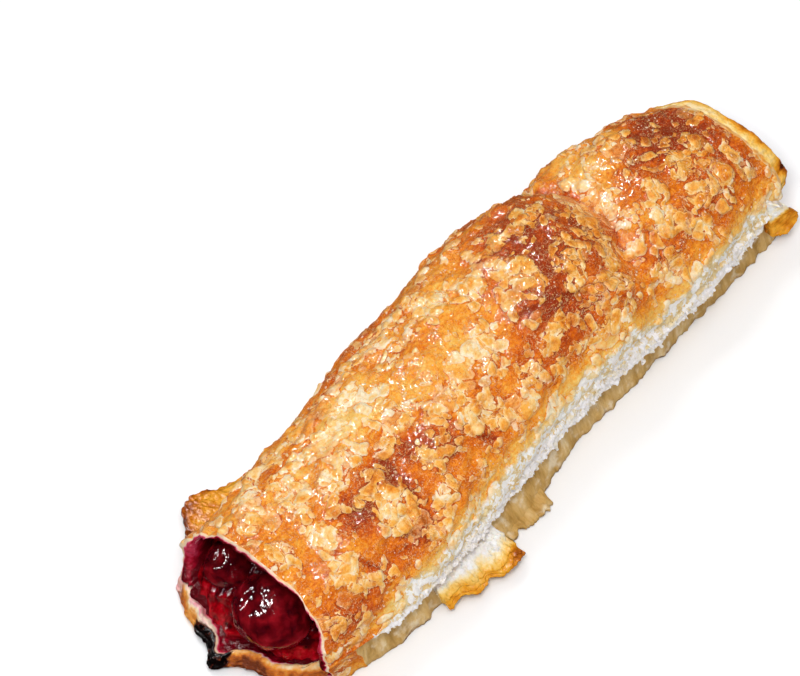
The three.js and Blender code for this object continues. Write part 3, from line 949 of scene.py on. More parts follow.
def stained_and_shaded_crumb():
    material, tree, shader = new_material("stained_and_shaded_crumb")
    place = attribute(tree, "rest", "Vector")
    soaked_and_shaded = total(tree, attribute(tree, "stain_and_shade"), deviation(tree, place, 1.8, 0.7))
    toast = total(tree, attribute(tree, "toast"), deviation(tree, place, 1.5, 0.7))
    patches = calc(tree, "MULTIPLY_ADD", noise(tree, place, 1.1, 3.0), 2.2, -0.1)
    scorch = product(tree, attribute(tree, "scorch"), patches)
    dough = ramp(tree, toast, *TOASTED)
    juice_and_shade = ramp(tree, soaked_and_shaded, *JUICE_AND_SHADE)
    skin = tint(tree, step(tree, soaked_and_shaded, 0.16, 0.4), dough, juice_and_shade)
    skin = tint(tree, step(tree, scorch, 0.2, 0.5), skin, colour("#5A1C08"))
    black = step(tree, scorch, 0.5, 0.72)
    skin = tint(tree, black, skin, colour("#080303"))
    layers = deviation(tree, vector(tree, "MULTIPLY", place, (1.0, 1.0, 2.4)), 0.9, 0.9)
    set_all(tree, shader, {
        "Base Color": skin,
        "Roughness": total(tree, step(tree, soaked_and_shaded, 0.4, 0.7, 0.42, 0.18), product(tree, black, -0.24)),
        "Specular IOR Level": 0.3,
        "Normal": bumped(tree, layers, 0.5),
        "Subsurface Weight": 0.1,
        "Subsurface Radius": (1.0, 0.3, 0.25),
        "Subsurface Scale": 0.0012,
    })
    return material


STAINED_AND_SHADED = stained_and_shaded_crumb()
print(STAINED_AND_SHADED.name, "has", len(STAINED_AND_SHADED.node_tree.nodes), "nodes")

# %% [markdown]
# ### Golden flaps
# Torn edges of the inner layers stick out at the sides and at the far end. They are white where they leave
# the stick, then butter yellow, gold, and brown at the tips, where they are thinnest. The attribute `brown`
# runs from root to tip, and bubbles in the dough break it up.

# %% Golden flaps
GOLD = (
    (0.08, "#F6EEE4"), (0.24, "#F6E1B4"), (0.42, "#F4C566"), (0.58, "#EBA32C"), (0.74, "#CF7A14"),
    (0.88, "#98480F"), (1.0, "#4E1C0A"),
)


def golden_flap():
    material, tree, shader = new_material("golden_flap")
    place = attribute(tree, "rest", "Vector")
    crumbs = use(tree, CRUMBS["ShaderNodeTree"], {"Place": place})
    uneven = deviation(tree, place, 2.6, 0.5), deviation(tree, place, 0.9, 0.25)
    heat = total(tree, attribute(tree, "brown"), *uneven)
    skin = ramp(tree, heat, *GOLD)
    raw = step(tree, heat, 0.3, 0.1)
    skin = tint(tree, product(tree, raw, step(tree, crumbs["Tone"], 0.3, 0.6)), skin, colour("#FBF7F2"))
    relief = total(
        tree,
        cells(tree, place, 1.3, "Distance"),
        deviation(tree, place, 0.7, 0.8),
        product(tree, product(tree, crumbs["Height"], 0.8), raw),
    )
    set_all(tree, shader, {
        "Base Color": skin,
        "Roughness": step(tree, heat, 0.2, 0.5, 0.4, 0.18),
        "Normal": bumped(tree, relief, 0.35),
        "Subsurface Weight": 0.12,
        "Subsurface Radius": (1.0, 0.6, 0.25),
        "Subsurface Scale": 0.0015,
    })
    return material


GOLDEN = golden_flap()
print(GOLDEN.name, "has", len(GOLDEN.node_tree.nodes), "nodes")

# %% [markdown]
# ### White crumbs
# The torn side is butter-coloured dough with white plates standing on it, more and whiter towards its free
# edge. The attribute `brown` falls from the crust down to that edge. The plates let light through, so some
# subsurface keeps the small shadows between them soft.

# %% White crumbs
DOUGH = ((0.05, "#F1E8DA"), (0.3, "#EEDDBC"), (0.55, "#EBCF97"), (0.8, "#E8B868"), (1.0, "#DC9138"))


def white_crumb():
    material, tree, shader = new_material("white_crumb")
    place = attribute(tree, "rest", "Vector")
    crumbs = use(tree, CRUMBS["ShaderNodeTree"], {"Place": place})
    uneven = deviation(tree, place, 3.2, 0.8), deviation(tree, place, 1.0, 0.4)
    rich = total(tree, attribute(tree, "brown"), *uneven)
    dough = ramp(tree, rich, *DOUGH)
    plates = step(tree, calc(tree, "MULTIPLY_ADD", rich, -0.6, crumbs["Tone"]), 0.24, 0.42)
    skin = tint(tree, plates, dough, tint(tree, crumbs["Tone"], colour("#F0E6DC"), colour("#FBF6F6")))
    fine = total(tree, crumbs["Height"], deviation(tree, place, 0.45, 0.5))
    set_all(tree, shader, {
        "Base Color": skin,
        "Roughness": step(tree, crumbs["Tone"], 0.2, 0.8, 0.32, 0.48),
        "Normal": bumped(tree, fine, 0.4),
        "Subsurface Weight": 0.15,
        "Subsurface Radius": (1.0, 0.8, 0.6),
        "Subsurface Scale": 0.0012,
    })
    return material


WHITE = white_crumb()
print(WHITE.name, "has", len(WHITE.node_tree.nodes), "nodes")

# %% [markdown]
# ## From rings to a closed mesh
# Nearly every pastry piece here is a skin over rings of points. If the last ring joins the first, it is a
# tube whose wall has a thickness; otherwise a point in the middle of each end closes it. The faces are turned
# so that the volume is positive, which means that they point outwards.

# %% Mesh helpers


def new_mesh(name, points, faces, materials, values=(), kinds=None):
    """A smooth mesh object. Points are in millimetres; values are attributes; kinds pick materials."""
    mesh = bpy.data.meshes.new(name)
    mesh.from_pydata(placed(points).tolist(), [], faces)
    for material in materials:
        mesh.materials.append(material)
    if kinds is not None:
        mesh.polygons.foreach_set("material_index", np.asarray(kinds, np.int32))
    for label, data in dict(values).items():
        data = np.asarray(data, np.float32)
        kind, field = ("FLOAT_VECTOR", "vector") if data.ndim == 2 else ("FLOAT", "value")
        mesh.attributes.new(label, kind, "POINT").data.foreach_set(field, data.ravel())
    mesh.shade_smooth()
    piece = bpy.data.objects.new(name, mesh)
    bpy.context.scene.collection.objects.link(piece)
    return piece


def ring_faces(rows, count, joined):
    """Squares between rings of points, as rows of four numbers."""
    i = np.arange(rows if joined else rows - 1)[:, None]
    j = np.arange(count)[None, :]
    here, there = i * count, ((i + 1) % rows) * count
    after = (j + 1) % count
    return np.stack([here + j, there + j, there + after, here + after], -1).reshape(-1, 4)


def corners(faces):
    """Faces as lists of corners. One that says a corner twice is a triangle."""
    twice = (faces[:, 2] == faces[:, 3]) | (faces[:, 0] == faces[:, 1])
    return [list(dict.fromkeys(face)) if short else face for face, short in zip(faces.tolist(), twice)]


def volume(points, faces):
    a, b, c, d = (points[faces[:, n]] for n in range(4))
    return float((np.cross(b, c) * a).sum() + (np.cross(c, d) * a).sum()) / 6


def skin_over(name, rings, materials, values=None, kinds=None, joined=False):
    """A closed mesh over an array of rings [ring, place, xyz]."""
    rows, count = rings.shape[:2]
    points = rings.reshape(-1, 3)
    faces = ring_faces(rows, count, joined)
    values = {label: np.asarray(data) for label, data in (values or {}).items()}
    flat = {label: data.reshape(rows * count, *data.shape[2:]) for label, data in values.items()}
    kinds = None if kinds is None else np.asarray(kinds)[: rows if joined else rows - 1].ravel()
    if not joined:
        ends = [rings[0].mean(0), rings[-1].mean(0)]
        points = np.vstack([points, ends])
        for label, data in values.items():
            flat[label] = np.concatenate([flat[label], [data[0].mean(0), data[-1].mean(0)]])
        j = np.arange(count)
        after = (j + 1) % count
        last = (rows - 1) * count
        first_cap = np.stack([0 * j + rows * count, j, after, after], -1)
        last_cap = np.stack([0 * j + rows * count + 1, last + after, last + j, last + j], -1)
        faces = np.vstack([faces, first_cap, last_cap])
        if kinds is not None:
            kinds = np.concatenate([kinds, np.full(2 * count, kinds[0])])
    if volume(points, faces) < 0:
        faces = faces[:, ::-1]
    return new_mesh(name, points, corners(faces), materials, flat, kinds)


def size_of(piece):
    triangles = sum(len(p.vertices) - 2 for p in piece.data.polygons)
    return f"{piece.name}: {triangles} triangles"


print("between 3 rings of 4 places lie", len(ring_faces(3, 4, False)), "faces")


# %% [markdown]
# ## The roll
# The roll is one wall of dough: its outside, the two cut rims and the hollow inside. Its rings run along the
# outside from the near mouth to the far one and come back through the hollow, where few are needed. Round the
# section the points are close where the crust shows and sparse under the stick.

# %% Rings of the roll
RINGS_OUTSIDE, RINGS_INSIDE = 384, 30
RIM_SHARES = (0.15, 0.35, 0.55, 0.75, 0.9)  # where rings lie across a rim
RIM_SWELL = 0.9
NEAR_SLIDE, FAR_SLIDE = 0.4, 2.0
FOOT_WOBBLE, SHEET_FOLD = 0.55, 0.45  # unevenness of the lower sheet at the table and above it
LIP_TUCK = 4.5  # how far the roll stays behind the edge of the near lip, which is a piece of its own


def spread(start, end, count):
    return np.linspace(start, end, count, endpoint=False)


STRETCHES = ((0, 14), (BAND, 168), (DOME, 18), (WALL, 12), (BASE, 20))  # start, points up to the next one
STARTS = [start for start, _ in STRETCHES] + [1]
AROUND = np.concatenate([spread(*ends, count) for *ends, (_, count) in zip(STARTS, STARTS[1:], STRETCHES)])


def outside_ring(s, t=AROUND):
    """One ring of the outside, with what the crust carries there."""
    sizes = [v + 0 * t for v in sizes_at(np.full(1, s * HALF_LENGTH))]
    y, z = outline(t, sizes)
    x = along(s, y, z)
    middle_y, middle_z = (sizes[0] - sizes[1]) / 2, 0.4 * sizes[3]
    dy, dz = y - middle_y, z - middle_z
    y = y - FOOT_WOBBLE * wander(x / 2.2, 0, 82) * bell(t, BASE, 0.03)
    relief, crease = crust_relief(s, t, x)
    relief = relief + SHEET_FOLD * wander(x / 3, t * 8, 81) * smooth(BASE, SIDE_END, t)
    out = relief / np.hypot(dy, dz)
    ring = np.stack([x, y + dy * out, np.maximum(0, z + dz * out)], -1)
    return ring, crease


DIPS = ((FOLD_X, 9, 1.6), (72, 9, 1.3))  # where the crust dips: along, reach, how much thicker the wall is


def thicker(x):
    """How much thicker the wall is where the crust dips, so that the hollow stays inside it."""
    return sum(more * bell(x, middle, reach) for middle, reach, more in DIPS)


def hollow_ring(s, slide=0.0, t=AROUND):
    """One ring of the hollow. At a mouth it slides out a little."""
    sizes = [v + 0 * t for v in sizes_at(np.full(1, s * HALF_LENGTH))]
    y, z = outline(t, sizes)
    return np.stack([along(s, y, z) + slide, *hollow(y, z, sizes, s, thicker(s * HALF_LENGTH))], -1)


def rim_rings(start, end, away):
    """Rings across a cut rim, swollen a little out of the mouth."""
    rough = 0.3 * wander(GIRTH * AROUND / 1.3, 0, 12)
    made = []
    for k in RIM_SHARES:
        ring = mix(start, end, k)
        swell = (RIM_SWELL + rough) * smooth(3, 8, ring[:, 2])
        ring[:, 0] += away * swell * math.sin(math.pi * k)
        made.append(ring)
    return made


def roll():
    none = 0 * AROUND
    places = np.linspace(-1, 1, RINGS_OUTSIDE)
    rows = [(*outside_ring(s), s, 0) for s in places]  # ring, crease, place along, share inside
    near_in, far_in = hollow_ring(-1, NEAR_SLIDE), hollow_ring(1, FAR_SLIDE)
    near_out, far_out = rows[0][0], rows[-1][0]
    rows += [(ring, none, 1, k) for k, ring in zip(RIM_SHARES, rim_rings(far_out, far_in, 0.6))]
    rows += [(far_in, none, 1, 1)]
    rows += [(hollow_ring(s), none, s, 1) for s in np.linspace(1, -1, RINGS_INSIDE)[1:-1]]
    rows += [(near_in, none, -1, 1)]
    rows += [(ring, none, -1, 1 - k) for k, ring in zip(RIM_SHARES, rim_rings(near_in, near_out, -1))]
    rings = np.stack([row[0] for row in rows])
    beneath = (1 - smooth(3.6, 6.5, rings[..., 2])) * (1 - smooth(-88, -82, rings[..., 0]))
    across = rings[..., 1]
    rings[..., 0] += LIP_TUCK * beneath * smooth(-24, -19, across) * (1 - smooth(17, 21, across))
    crease = np.stack([row[1] for row in rows])
    s, inner = (np.array([row[n] for row in rows])[:, None] + 0 * AROUND for n in (2, 3))
    t = AROUND + 0 * s
    z = rings[..., 2]
    on_crust = smooth(0.0, 0.05, t) * (1 - smooth(DOME + 0.02, WALL, t)) * (inner == 0)
    low_left = smooth(6, 16, across) * (1 - smooth(8, 16, z))
    # the stain runs quickly to near black inside the hollow: juice, and painted shade under the roof
    soaked_and_shaded = 1.2 * smooth(0.12, 0.42, inner) + 0.3 * low_left
    walls = smooth(8, 14, across) + smooth(14, 19, -across)
    walls = walls * (s == -1) * smooth(0.3, 0.5, inner)
    low_right = smooth(10, 18, -across) * (1 - smooth(10, 22, z)) * smooth(0.1, 0.3, inner)
    soaked_and_shaded = soaked_and_shaded + 0.08 + 0.4 * low_right
    stain_and_shade = np.where(s < 0, soaked_and_shaded - 0.7 * walls, 0.05 + 0.5 * (inner == 1))
    values = {
        "rest": rings,
        "brown": browning(s * HALF_LENGTH, t),
        "flaky": flakiness(s * HALF_LENGTH, t),
        "pale": pallor(s * HALF_LENGTH, t),
        "crease": crease,
        "raised": on_crust,
        "stain_and_shade": stain_and_shade * (inner > 0),
        "toast": np.where(s < 0, 0.24, 0.4),
        "scorch": 0 * inner,
    }
    sheet = (t > WALL - 0.01) & ((t < BASE) | (s * HALF_LENGTH > CHEEK[0]))
    kinds = np.where(inner > 0, 2, np.where(sheet, 1, 0))
    kinds[RINGS_OUTSIDE - 1] = 2
    return skin_over("crust_roll", rings, [CRUST, SHEET, STAINED_AND_SHADED], values, kinds, joined=True)


roll_piece = roll()
print(size_of(roll_piece))

# %% [markdown]
# ## Raising the blisters
# The scales need real height, for their edges to catch the light and for the mesh alone to show them.
# Geometry Nodes do it: the same blister pattern that colours the crust, read at the same places, pushes each
# point out along its normal. A displacement modifier would need a texture of its own, which could not match
# the material.

# %% A tree that raises a pattern


def named(tree, label, kind="FLOAT"):
    """An attribute of the mesh, in a geometry tree."""
    return add(tree, "GeometryNodeInputNamedAttribute", {"Name": label}, data_type=kind)


def relief_tree(name, pattern, sizes):
    """Pushes a mesh out along its normals by a pattern, scaled by the attribute `raised`."""
    inputs = [("Geometry", "Geometry", None)] + [(label, "Float", value) for label, value in sizes.items()]
    tree, into, out = new_group("GeometryNodeTree", name, inputs, [("Geometry", "Geometry")])
    height = pattern(tree, into, named(tree, "rest", "FLOAT_VECTOR"))
    reach = product(tree, product(tree, height, named(tree, "raised")), 0.001)
    offset = vector(tree, "SCALE", add(tree, "GeometryNodeInputNormal"), scale=reach)
    moved = add(tree, "GeometryNodeSetPosition", {"Geometry": into["Geometry"], "Offset": offset})
    tree.links.new(add(tree, "GeometryNodeRealizeInstances", {0: moved}), out["Geometry"])
    return tree


def apply_tree(piece, tree, sizes):
    """Runs a geometry tree on a piece and keeps the result as its plain mesh."""
    modifier = piece.modifiers.new(tree.name, "NODES")
    modifier.node_group = tree
    for item in tree.interface.items_tree:
        if item.in_out == "INPUT" and item.name in sizes:
            modifier[item.identifier] = sizes[item.name]
    graph = bpy.context.evaluated_depsgraph_get()
    evaluated = piece.evaluated_get(graph)
    made = bpy.data.meshes.new_from_object(evaluated, preserve_all_data_layers=True, depsgraph=graph)
    piece.modifiers.remove(modifier)
    old, name = piece.data, piece.data.name
    piece.data = made
    bpy.data.meshes.remove(old)
    made.name = name
    return piece


def crust_pattern(tree, into, place):
    sockets = {"Place": place, "Flaky": named(tree, "flaky")}
    scales = use(tree, BLISTERS["GeometryNodeTree"], sockets)["Height"]
    ripple = deviation(tree, place, 2.2, 1.0)
    raised = product(tree, scales, into["Scale Height"])
    return calc(tree, "ADD", raised, product(tree, ripple, into["Ripple Height"]))


CRUST_SIZES = {"Scale Height": 0.6, "Ripple Height": 0.9}
apply_tree(roll_piece, relief_tree("raise_blisters", crust_pattern, CRUST_SIZES), CRUST_SIZES)
print(size_of(roll_piece))

# %% [markdown]
# ## The torn side
# Above the seam the upper sheet ends in a ragged white fringe that hangs over the lower one. It is a strip of
# its own, laid over the roll's band, so that its mesh can be fine enough for broken plates a millimetre
# across, and so that its free edge casts a real shadow on the sheet below.

# %% The white edge
EDGE_RINGS = 600
EDGE_TOP = 0.145  # how far up the side it starts, as a share of the way round
EDGE_SPAN = (-74.5, 81.5)
FRONT_SHARE = 0.8  # of the strip that lies on the band; the rest is the hanging fringe
FRONT_COUNT = 34
BACK_UPPER, BACK_TOP = 22, 8  # places of the front that the back lies behind
FRINGE_OUT, FRINGE_DOWN = 0.35, 0.85


def hanging(x):
    """How far the fringe hangs: long waves, and spikes where thin shreds have come loose."""
    spikes = np.maximum(0, wander(x / 0.9, 0, 16)) ** 2
    return np.maximum(0.1, 0.35 + 0.7 * wander(x / 4, 0, 15) + 1.5 * spikes)


def white_edge():
    down = np.linspace(0, 1, FRONT_COUNT)
    rings, browns, raised = [], [], []
    for x in np.linspace(*EDGE_SPAN, EDGE_RINGS):
        s = x / HALF_LENGTH
        present = smooth(EDGE_SPAN[0], EDGE_SPAN[0] + 5, x) * (1 - smooth(EDGE_SPAN[1] - 3, EDGE_SPAN[1], x))
        top = max(0.02, EDGE_TOP - 0.07 * (1 - smooth(-76, -58, x)) + 0.012 * float(wander(x / 5, 0, 6)))
        t = np.clip(top * (1 - down / FRONT_SHARE), 0, 1)
        ring, _ = outside_ring(s, t)
        left, right, _, height, _ = (float(v) for v in sizes_at(x))
        out = ring - (0, (left - right) / 2, 0.4 * height)
        out[:, 0] = 0
        out = out / np.linalg.norm(out, axis=1, keepdims=True)
        lift = mix(-0.5, 0.3, smooth(0, 0.5, down)) + 0.2 * wander(x / 2.5, down * 3, 31)
        lift = lift - 1.2 * (1 - present)
        hang = float(hanging(x)) * present
        fall = np.clip((down - FRONT_SHARE) / (1 - FRONT_SHARE), 0, 1) * hang
        front = ring + out * lift[:, None] + np.stack([0 * t, -FRINGE_OUT * fall, -FRINGE_DOWN * fall], -1)
        tip = front[-1]
        back = [
            tip + (0, 0.3, 0.05), tip + (0, 1.0, 0.8 * hang),
            front[BACK_UPPER] + (0, 2.2, -0.2), front[BACK_TOP] + (0, 2.4, -0.5),
        ]
        rings.append(np.vstack([front, back]))
        browns.append(np.concatenate([mix(0.8, 0.05, smooth(0.0, 0.75, down)), [0.1, 0.3, 0.6, 0.6]]))
        raised.append(present * np.concatenate([smooth(0.0, 0.3, down), [0.3, 0, 0, 0]]))
    rings = np.stack(rings)
    values = {"rest": rings, "brown": np.stack(browns), "raised": np.stack(raised)}
    return skin_over("white_edge", rings, [WHITE], values)


def crumb_pattern(tree, into, place):
    height = use(tree, CRUMBS["GeometryNodeTree"], {"Place": place})["Height"]
    return product(tree, calc(tree, "SUBTRACT", height, 0.45), into["Crumb Height"])


CRUMB_SIZES = {"Crumb Height": 0.7}
CRUMB_TREE = relief_tree("raise_crumbs", crumb_pattern, CRUMB_SIZES)
edge_piece = apply_tree(white_edge(), CRUMB_TREE, CRUMB_SIZES)
print(size_of(edge_piece))

# %% [markdown]
# ## Loose edges of the lower layer
# Four thin pieces of dough stand out of the stick: a torn flap and a spread scrap by the seam, a flange to
# the left of the near mouth, and the corner of the inner layers at the far end. Each is a grid of points,
# along its root and out to its tip, with a thickness. Two or three such sheets of slightly different reach,
# stacked, give the tip the split layers of puff pastry.

# %% Loose edges
TORN_FLAP = {"near": -52, "far": -31, "root": -26.5, "tip": -39, "height": 7.6, "droop": 3.6}
LEFT_FLANGE = {"near": -88, "widest": -70, "far": -37, "root": 15, "tip": 34, "height": 3}
SEAM_SCRAP = {"near": -31, "far": -11.5, "root": -24, "tip": -33.6, "height": 1.8}
FAR_CORNER = {"root": 78.5, "tip": 82.4, "root_y": -24.0, "tip_y": -26.6, "top": 18.0, "bottom": 5.5}


def torn_flap(u, v):
    f = TORN_FLAP
    tip = f["tip"] + 5.5 * (1 - u) ** 2.2 + 0.7 * wander(u * 9, 0, 21) + 1.6 * bell(u, 0.56, 0.06)
    wave = 0.5 * np.sin(u * 9) + 0.7 * wander(u * 4, v * 2, 22)
    side = 0.6 * wander(v * 7, u > 0.5, 23) * bell(u, np.round(u), 0.1)
    x = mix(f["near"], f["far"], u) + 2.4 * v * (u - 0.5) + side
    return np.stack([x, mix(f["root"], tip, v), f["height"] + (wave - f["droop"]) * v], -1)


def left_flange(u, v):
    f = LEFT_FLANGE
    x = mix(f["near"], f["far"], u)
    narrowing = np.maximum(0.85 * (f["widest"] - x), 0.25 * (x - f["widest"]))
    tip = f["tip"] - narrowing + 0.8 * wander(u * 17, 0, 24)
    z = f["height"] + 1.2 * v * np.sin(u * 7) + 0.7 * v * wander(u * 9, v * 3, 25)
    return np.stack([x + 0 * v, mix(f["root"], tip, v), z], -1)


def seam_scrap(u, v):
    f = SEAM_SCRAP
    tip = f["tip"] + 1.3 * wander(u * 8, 0, 26) + 2.2 * bell(u, 0.3, 0.1)
    x = mix(f["near"], f["far"], u) + 3 * v * (0.5 - u)
    return np.stack([x, mix(f["root"], tip, v), f["height"] + (0.5 * wander(u * 6, v * 2, 28) - 0.4) * v], -1)


def far_corner(u, v):
    f = FAR_CORNER
    knob = 4.2 * bell(u, 0.72, 0.24) - 2 * smooth(0.85, 1, u) - 2.5 * smooth(0.2, 0, u)
    x = mix(f["root"], f["tip"] + knob + 0.6 * wander(u * 5, 0, 27), v)
    return np.stack([x, mix(f["root_y"], f["tip_y"], v) - 1.6 * u, mix(f["top"], f["bottom"], u) + 0 * v], -1)


# %% Stacked sheets


def as_one(name, pieces):
    """Several objects as one."""
    if len(pieces) > 1:
        with bpy.context.temp_override(active_object=pieces[0], selected_editable_objects=pieces):
            bpy.ops.object.join()
    pieces[0].name = pieces[0].data.name = name
    return pieces[0]


def tab(name, place, thick, browned, material, counts=(110, 34), axis=2, layers=3):
    """A stack of thin sheets. Thick holds the thickness at root and tip, browned gives the browning."""
    u = np.linspace(0, 1, counts[0])[:, None]
    pieces = []
    for layer in range(layers):
        reach = 1 - 0.09 * layer - 0.05 * wander(u * 7, 0, 40 + layer)
        v = np.linspace(0, 1, counts[1])[None] * reach
        middle = place(u + 0 * v, v)
        sheet = mix(*thick, v) / layers
        middle[..., axis] += (layer - (layers - 1) / 2) * sheet * 0.9
        rough = 0.12 * wander(u * 20, v * 10, 50 + layer) * smooth(0, 0.3, v)
        upper, lower = middle.copy(), middle.copy()
        upper[..., axis] += 0.55 * sheet + rough
        lower[..., axis] -= 0.55 * sheet + rough
        rings = np.concatenate([upper, lower[:, ::-1]], 1)
        brown = browned(u + 0 * v, v)
        brown = np.concatenate([brown, brown[:, ::-1]], 1)
        values = {"rest": rings, "brown": brown, "raised": 0 * brown + 1}
        pieces.append(skin_over(f"{name}_{layer}", rings, [material], values))
    return as_one(name, pieces)


def flap_browning(u, v):
    return mix(0.04, 0.6, smooth(0.3, 0.95, v)) + 0.25 * smooth(0.7, 1, u) * smooth(0.4, 1, v)


def flange_browning(u, v):
    return mix(0.8, 0.58, smooth(0.1, 0.6, u)) + 0.2 * smooth(0.8, 1, v) * (1 - 0.6 * smooth(0.4, 0.7, u))


def corner_browning(u, v):
    return mix(0.14, 0.68, smooth(0.34, 0.56, u + 0.25 * (v - 0.5)))


flap_piece = tab("torn_flap", torn_flap, (2.8, 1.5), flap_browning, GOLDEN)
flange_piece = tab("left_flange", left_flange, (3.8, 1.8), flange_browning, GOLDEN, (150, 34))
scrap_piece = tab("seam_scrap", seam_scrap, (2.6, 0.9), lambda u, v: 0 * u, SHEET, (90, 26), 2, 1)
corner_piece = tab("far_corner", far_corner, (2.6, 2.2), corner_browning, GOLDEN, (60, 30), 1, 2)
for piece in (flap_piece, flange_piece, scrap_piece, corner_piece):
    print(size_of(piece))

# %% [markdown]
# ## The near lip
# In front of the near mouth the lower layer sticks out like a tongue. Its border is a soft ridge: pink and
# cream to the left, see-through orange to the right, with a brown edge and one point that is burnt black.
# Behind the ridge its floor is soaked with juice. It is a skin over rings that run from the table, over the
# ridge and into the mouth.

# %% Near lip
LIP_LEFT, LIP_RIGHT = 20.5, -23.0
LIP_DEPTH = 16  # how far it reaches into the mouth
LIP_COUNTS = (190, 56)
LIP_OUT = 0.9
LIP_UNDER_CRUST = 3.2  # how far its left side moves in behind the crust
RIDGE_AT, RIDGE_WIDTH, RIDGE = 2.0, 1.5, 1.5


def near_lip():
    y = np.linspace(LIP_RIGHT, LIP_LEFT, LIP_COUNTS[0])[:, None]
    off = np.linspace(0, 1, LIP_COUNTS[1])[None] ** 1.3 * LIP_DEPTH
    edge = near_edge(y, 0 * y) + 0.75 * ragged_cut(y, 0) + 0.35 * wander(y / 2.2, 0, 71) - LIP_OUT
    tall = RIDGE + 0.4 * wander(y / 5, 0, 72) + 0.9 * bell(y, 11, 5) + 0.4 * bell(y, -8, 5)
    ridge = tall * bell(off, RIDGE_AT, RIDGE_WIDTH)
    floor = FLOOR + 0.35 + 0.25 * wander(y / 2, off / 2, 73) - 1.4 * (1 - smooth(0, 1.0, off))
    wall = smooth(15, 20.5, y) * 3.2 + smooth(17, 23, -y) * 3.4
    z = floor + ridge + wall * smooth(0, 5, off)
    tuck = LIP_UNDER_CRUST * smooth(14, LIP_LEFT, y)
    top = np.stack([edge + off, y - tuck * smooth(2, 6, off), z], -1)
    down = np.linspace(0, 1, 12)[None, 1:]
    bulge = 0.6 * np.sin(math.pi * down) + 0.25 * wander(y / 1.5, down * 6, 74)
    front = np.stack([edge - bulge + 1.4 * down**2, y + 0 * down, z[:, :1] * (1 - down) + 0.15], -1)
    below = np.linspace(0, 1, 8)[None, 1:]
    hidden = below * (LIP_DEPTH - 2)
    under = np.stack([edge + 1.4 + hidden, y - tuck * smooth(2, 6, hidden), 0 * y + 0.15 + 1.6 * below], -1)
    rings = np.concatenate([top[:, ::-1], front, under], 1)
    inward = rings[..., 0] - edge
    y = y + 0 * inward
    border = 1 - smooth(0.3, 1.6, inward)
    golden = bell(y, -8.5, 6.5) + 0.7 * bell(y, 18.5, 3)
    toast = 0.1 + 0.42 * border + 0.5 * golden * (1 - smooth(3.5, 6, inward)) + 0.25 * smooth(-15, -19, y)
    shore = inward - 1.5 * bell(y, 12, 6) + 0.9 * bell(y, -10, 6)
    stain_and_shade = smooth(2.2, 4.6, shore) + 0.42 * bell(y, 11, 6) * smooth(0.6, 1.8, inward) + 0.35 * bell(y, 20, 3)
    stain_and_shade = stain_and_shade - 0.45 * smooth(-13, -18, y) * (1 - smooth(6, 10, inward))
    burnt_depth = mix(2.4, 0.8, smooth(2, 10, y))
    burnt = smooth(-4.2, -2.2, y) * (1 - smooth(8, 12, y))
    values = {
        "rest": rings,
        "stain_and_shade": np.clip(stain_and_shade, 0, 1),
        "toast": toast,
        "scorch": burnt * (1 - smooth(-0.8, 0.8, inward - burnt_depth)) * 0.85,
        "raised": 0 * toast + 1,
    }
    return skin_over("near_lip", rings, [STAINED_AND_SHADED], values)


lip_piece = near_lip()
print(size_of(lip_piece))

# %% [markdown]
# ## The far collar
# At the far end the inner layers stick out past the crust as a soft yellow band that follows the dome. Its
# free edge is toasted in a few places and burnt at one. It is a ridge swept round the section: at each place
# of the section a small closed profile runs out along the stick and back.

# %% Far collar
COLLAR_START, COLLAR_END = 0.045, 0.70  # shares of the way round
COLLAR_COUNT, COLLAR_PROFILE = 260, 26
COLLAR_THICK = 2.3


def far_collar():
    t = np.linspace(COLLAR_START, COLLAR_END, COLLAR_COUNT)
    outer, _ = outside_ring(1, t)
    inner = hollow_ring(1, t=t)
    inward = inner - outer
    inward[:, 0] = 0
    inward = inward / np.linalg.norm(inward, axis=1, keepdims=True)
    reach = 4.2 - 2.2 * smooth(0.38, 0.46, t) + 1.2 * bell(t, 0.17, 0.05) + 0.55 * wander(t * 22, 0, 91)
    turn = np.linspace(0, 2 * math.pi, COLLAR_PROFILE, endpoint=False)
    rings, browns = [], []
    spots = 0.3 * bell(t, 0.325, 0.02) + 0.25 * bell(t, 0.285, 0.014) + 0.6 * bell(t, 0.18, 0.028)
    for i in range(COLLAR_COUNT):
        out = 0.5 - 0.5 * np.cos(turn)
        thick = COLLAR_THICK * (0.5 + 0.22 * wander(t[i] * 30, 0, 92)) * np.sin(turn) * (1 - 0.45 * out)
        lean = 0.25 + 0.5 * out
        base = outer[i] + inward[i] * (1.5 + lean[:, None])
        ring = base + inward[i] * thick[:, None]
        ring[:, 0] += -2.2 + out * (2.2 + reach[i])
        rings.append(ring)
        tips = 0.22 * smooth(0.7, 1, out) + spots[i] * smooth(0.35, 0.95, out)
        browns.append(0.34 + 0.12 * bell(t[i], 0.12, 0.05) + tips - 0.1 * smooth(0.3, 0.0, out))
    rings = np.stack(rings)
    values = {"rest": rings, "brown": np.stack(browns), "raised": np.ones(rings.shape[:2])}
    return skin_over("far_collar", rings, [GOLDEN], values)


def dough_pattern(tree, into, place):
    return product(tree, deviation(tree, place, 1.4, 1.0), into["Roughness"])


DOUGH_SIZES = {"Roughness": 0.7}
DOUGH_TREE = relief_tree("roughen_dough", dough_pattern, DOUGH_SIZES)
collar_piece = far_collar()
for piece in (flap_piece, flange_piece, scrap_piece, corner_piece, lip_piece, collar_piece):
    apply_tree(piece, DOUGH_TREE, DOUGH_SIZES)
print(size_of(collar_piece))

# %% [markdown]
# ## Cherries
# Cooked cherries are dark, taut and glossy, a little dented, each with a dimple where its stem was. Each
# starts as a finely divided ball, which has no poles to pinch, and is squashed by the same rule as in the
# solid model. Geometry Nodes then add the dents and the fine wrinkles of cooked skin, which break up the
# highlights.

# %% Cherry skin


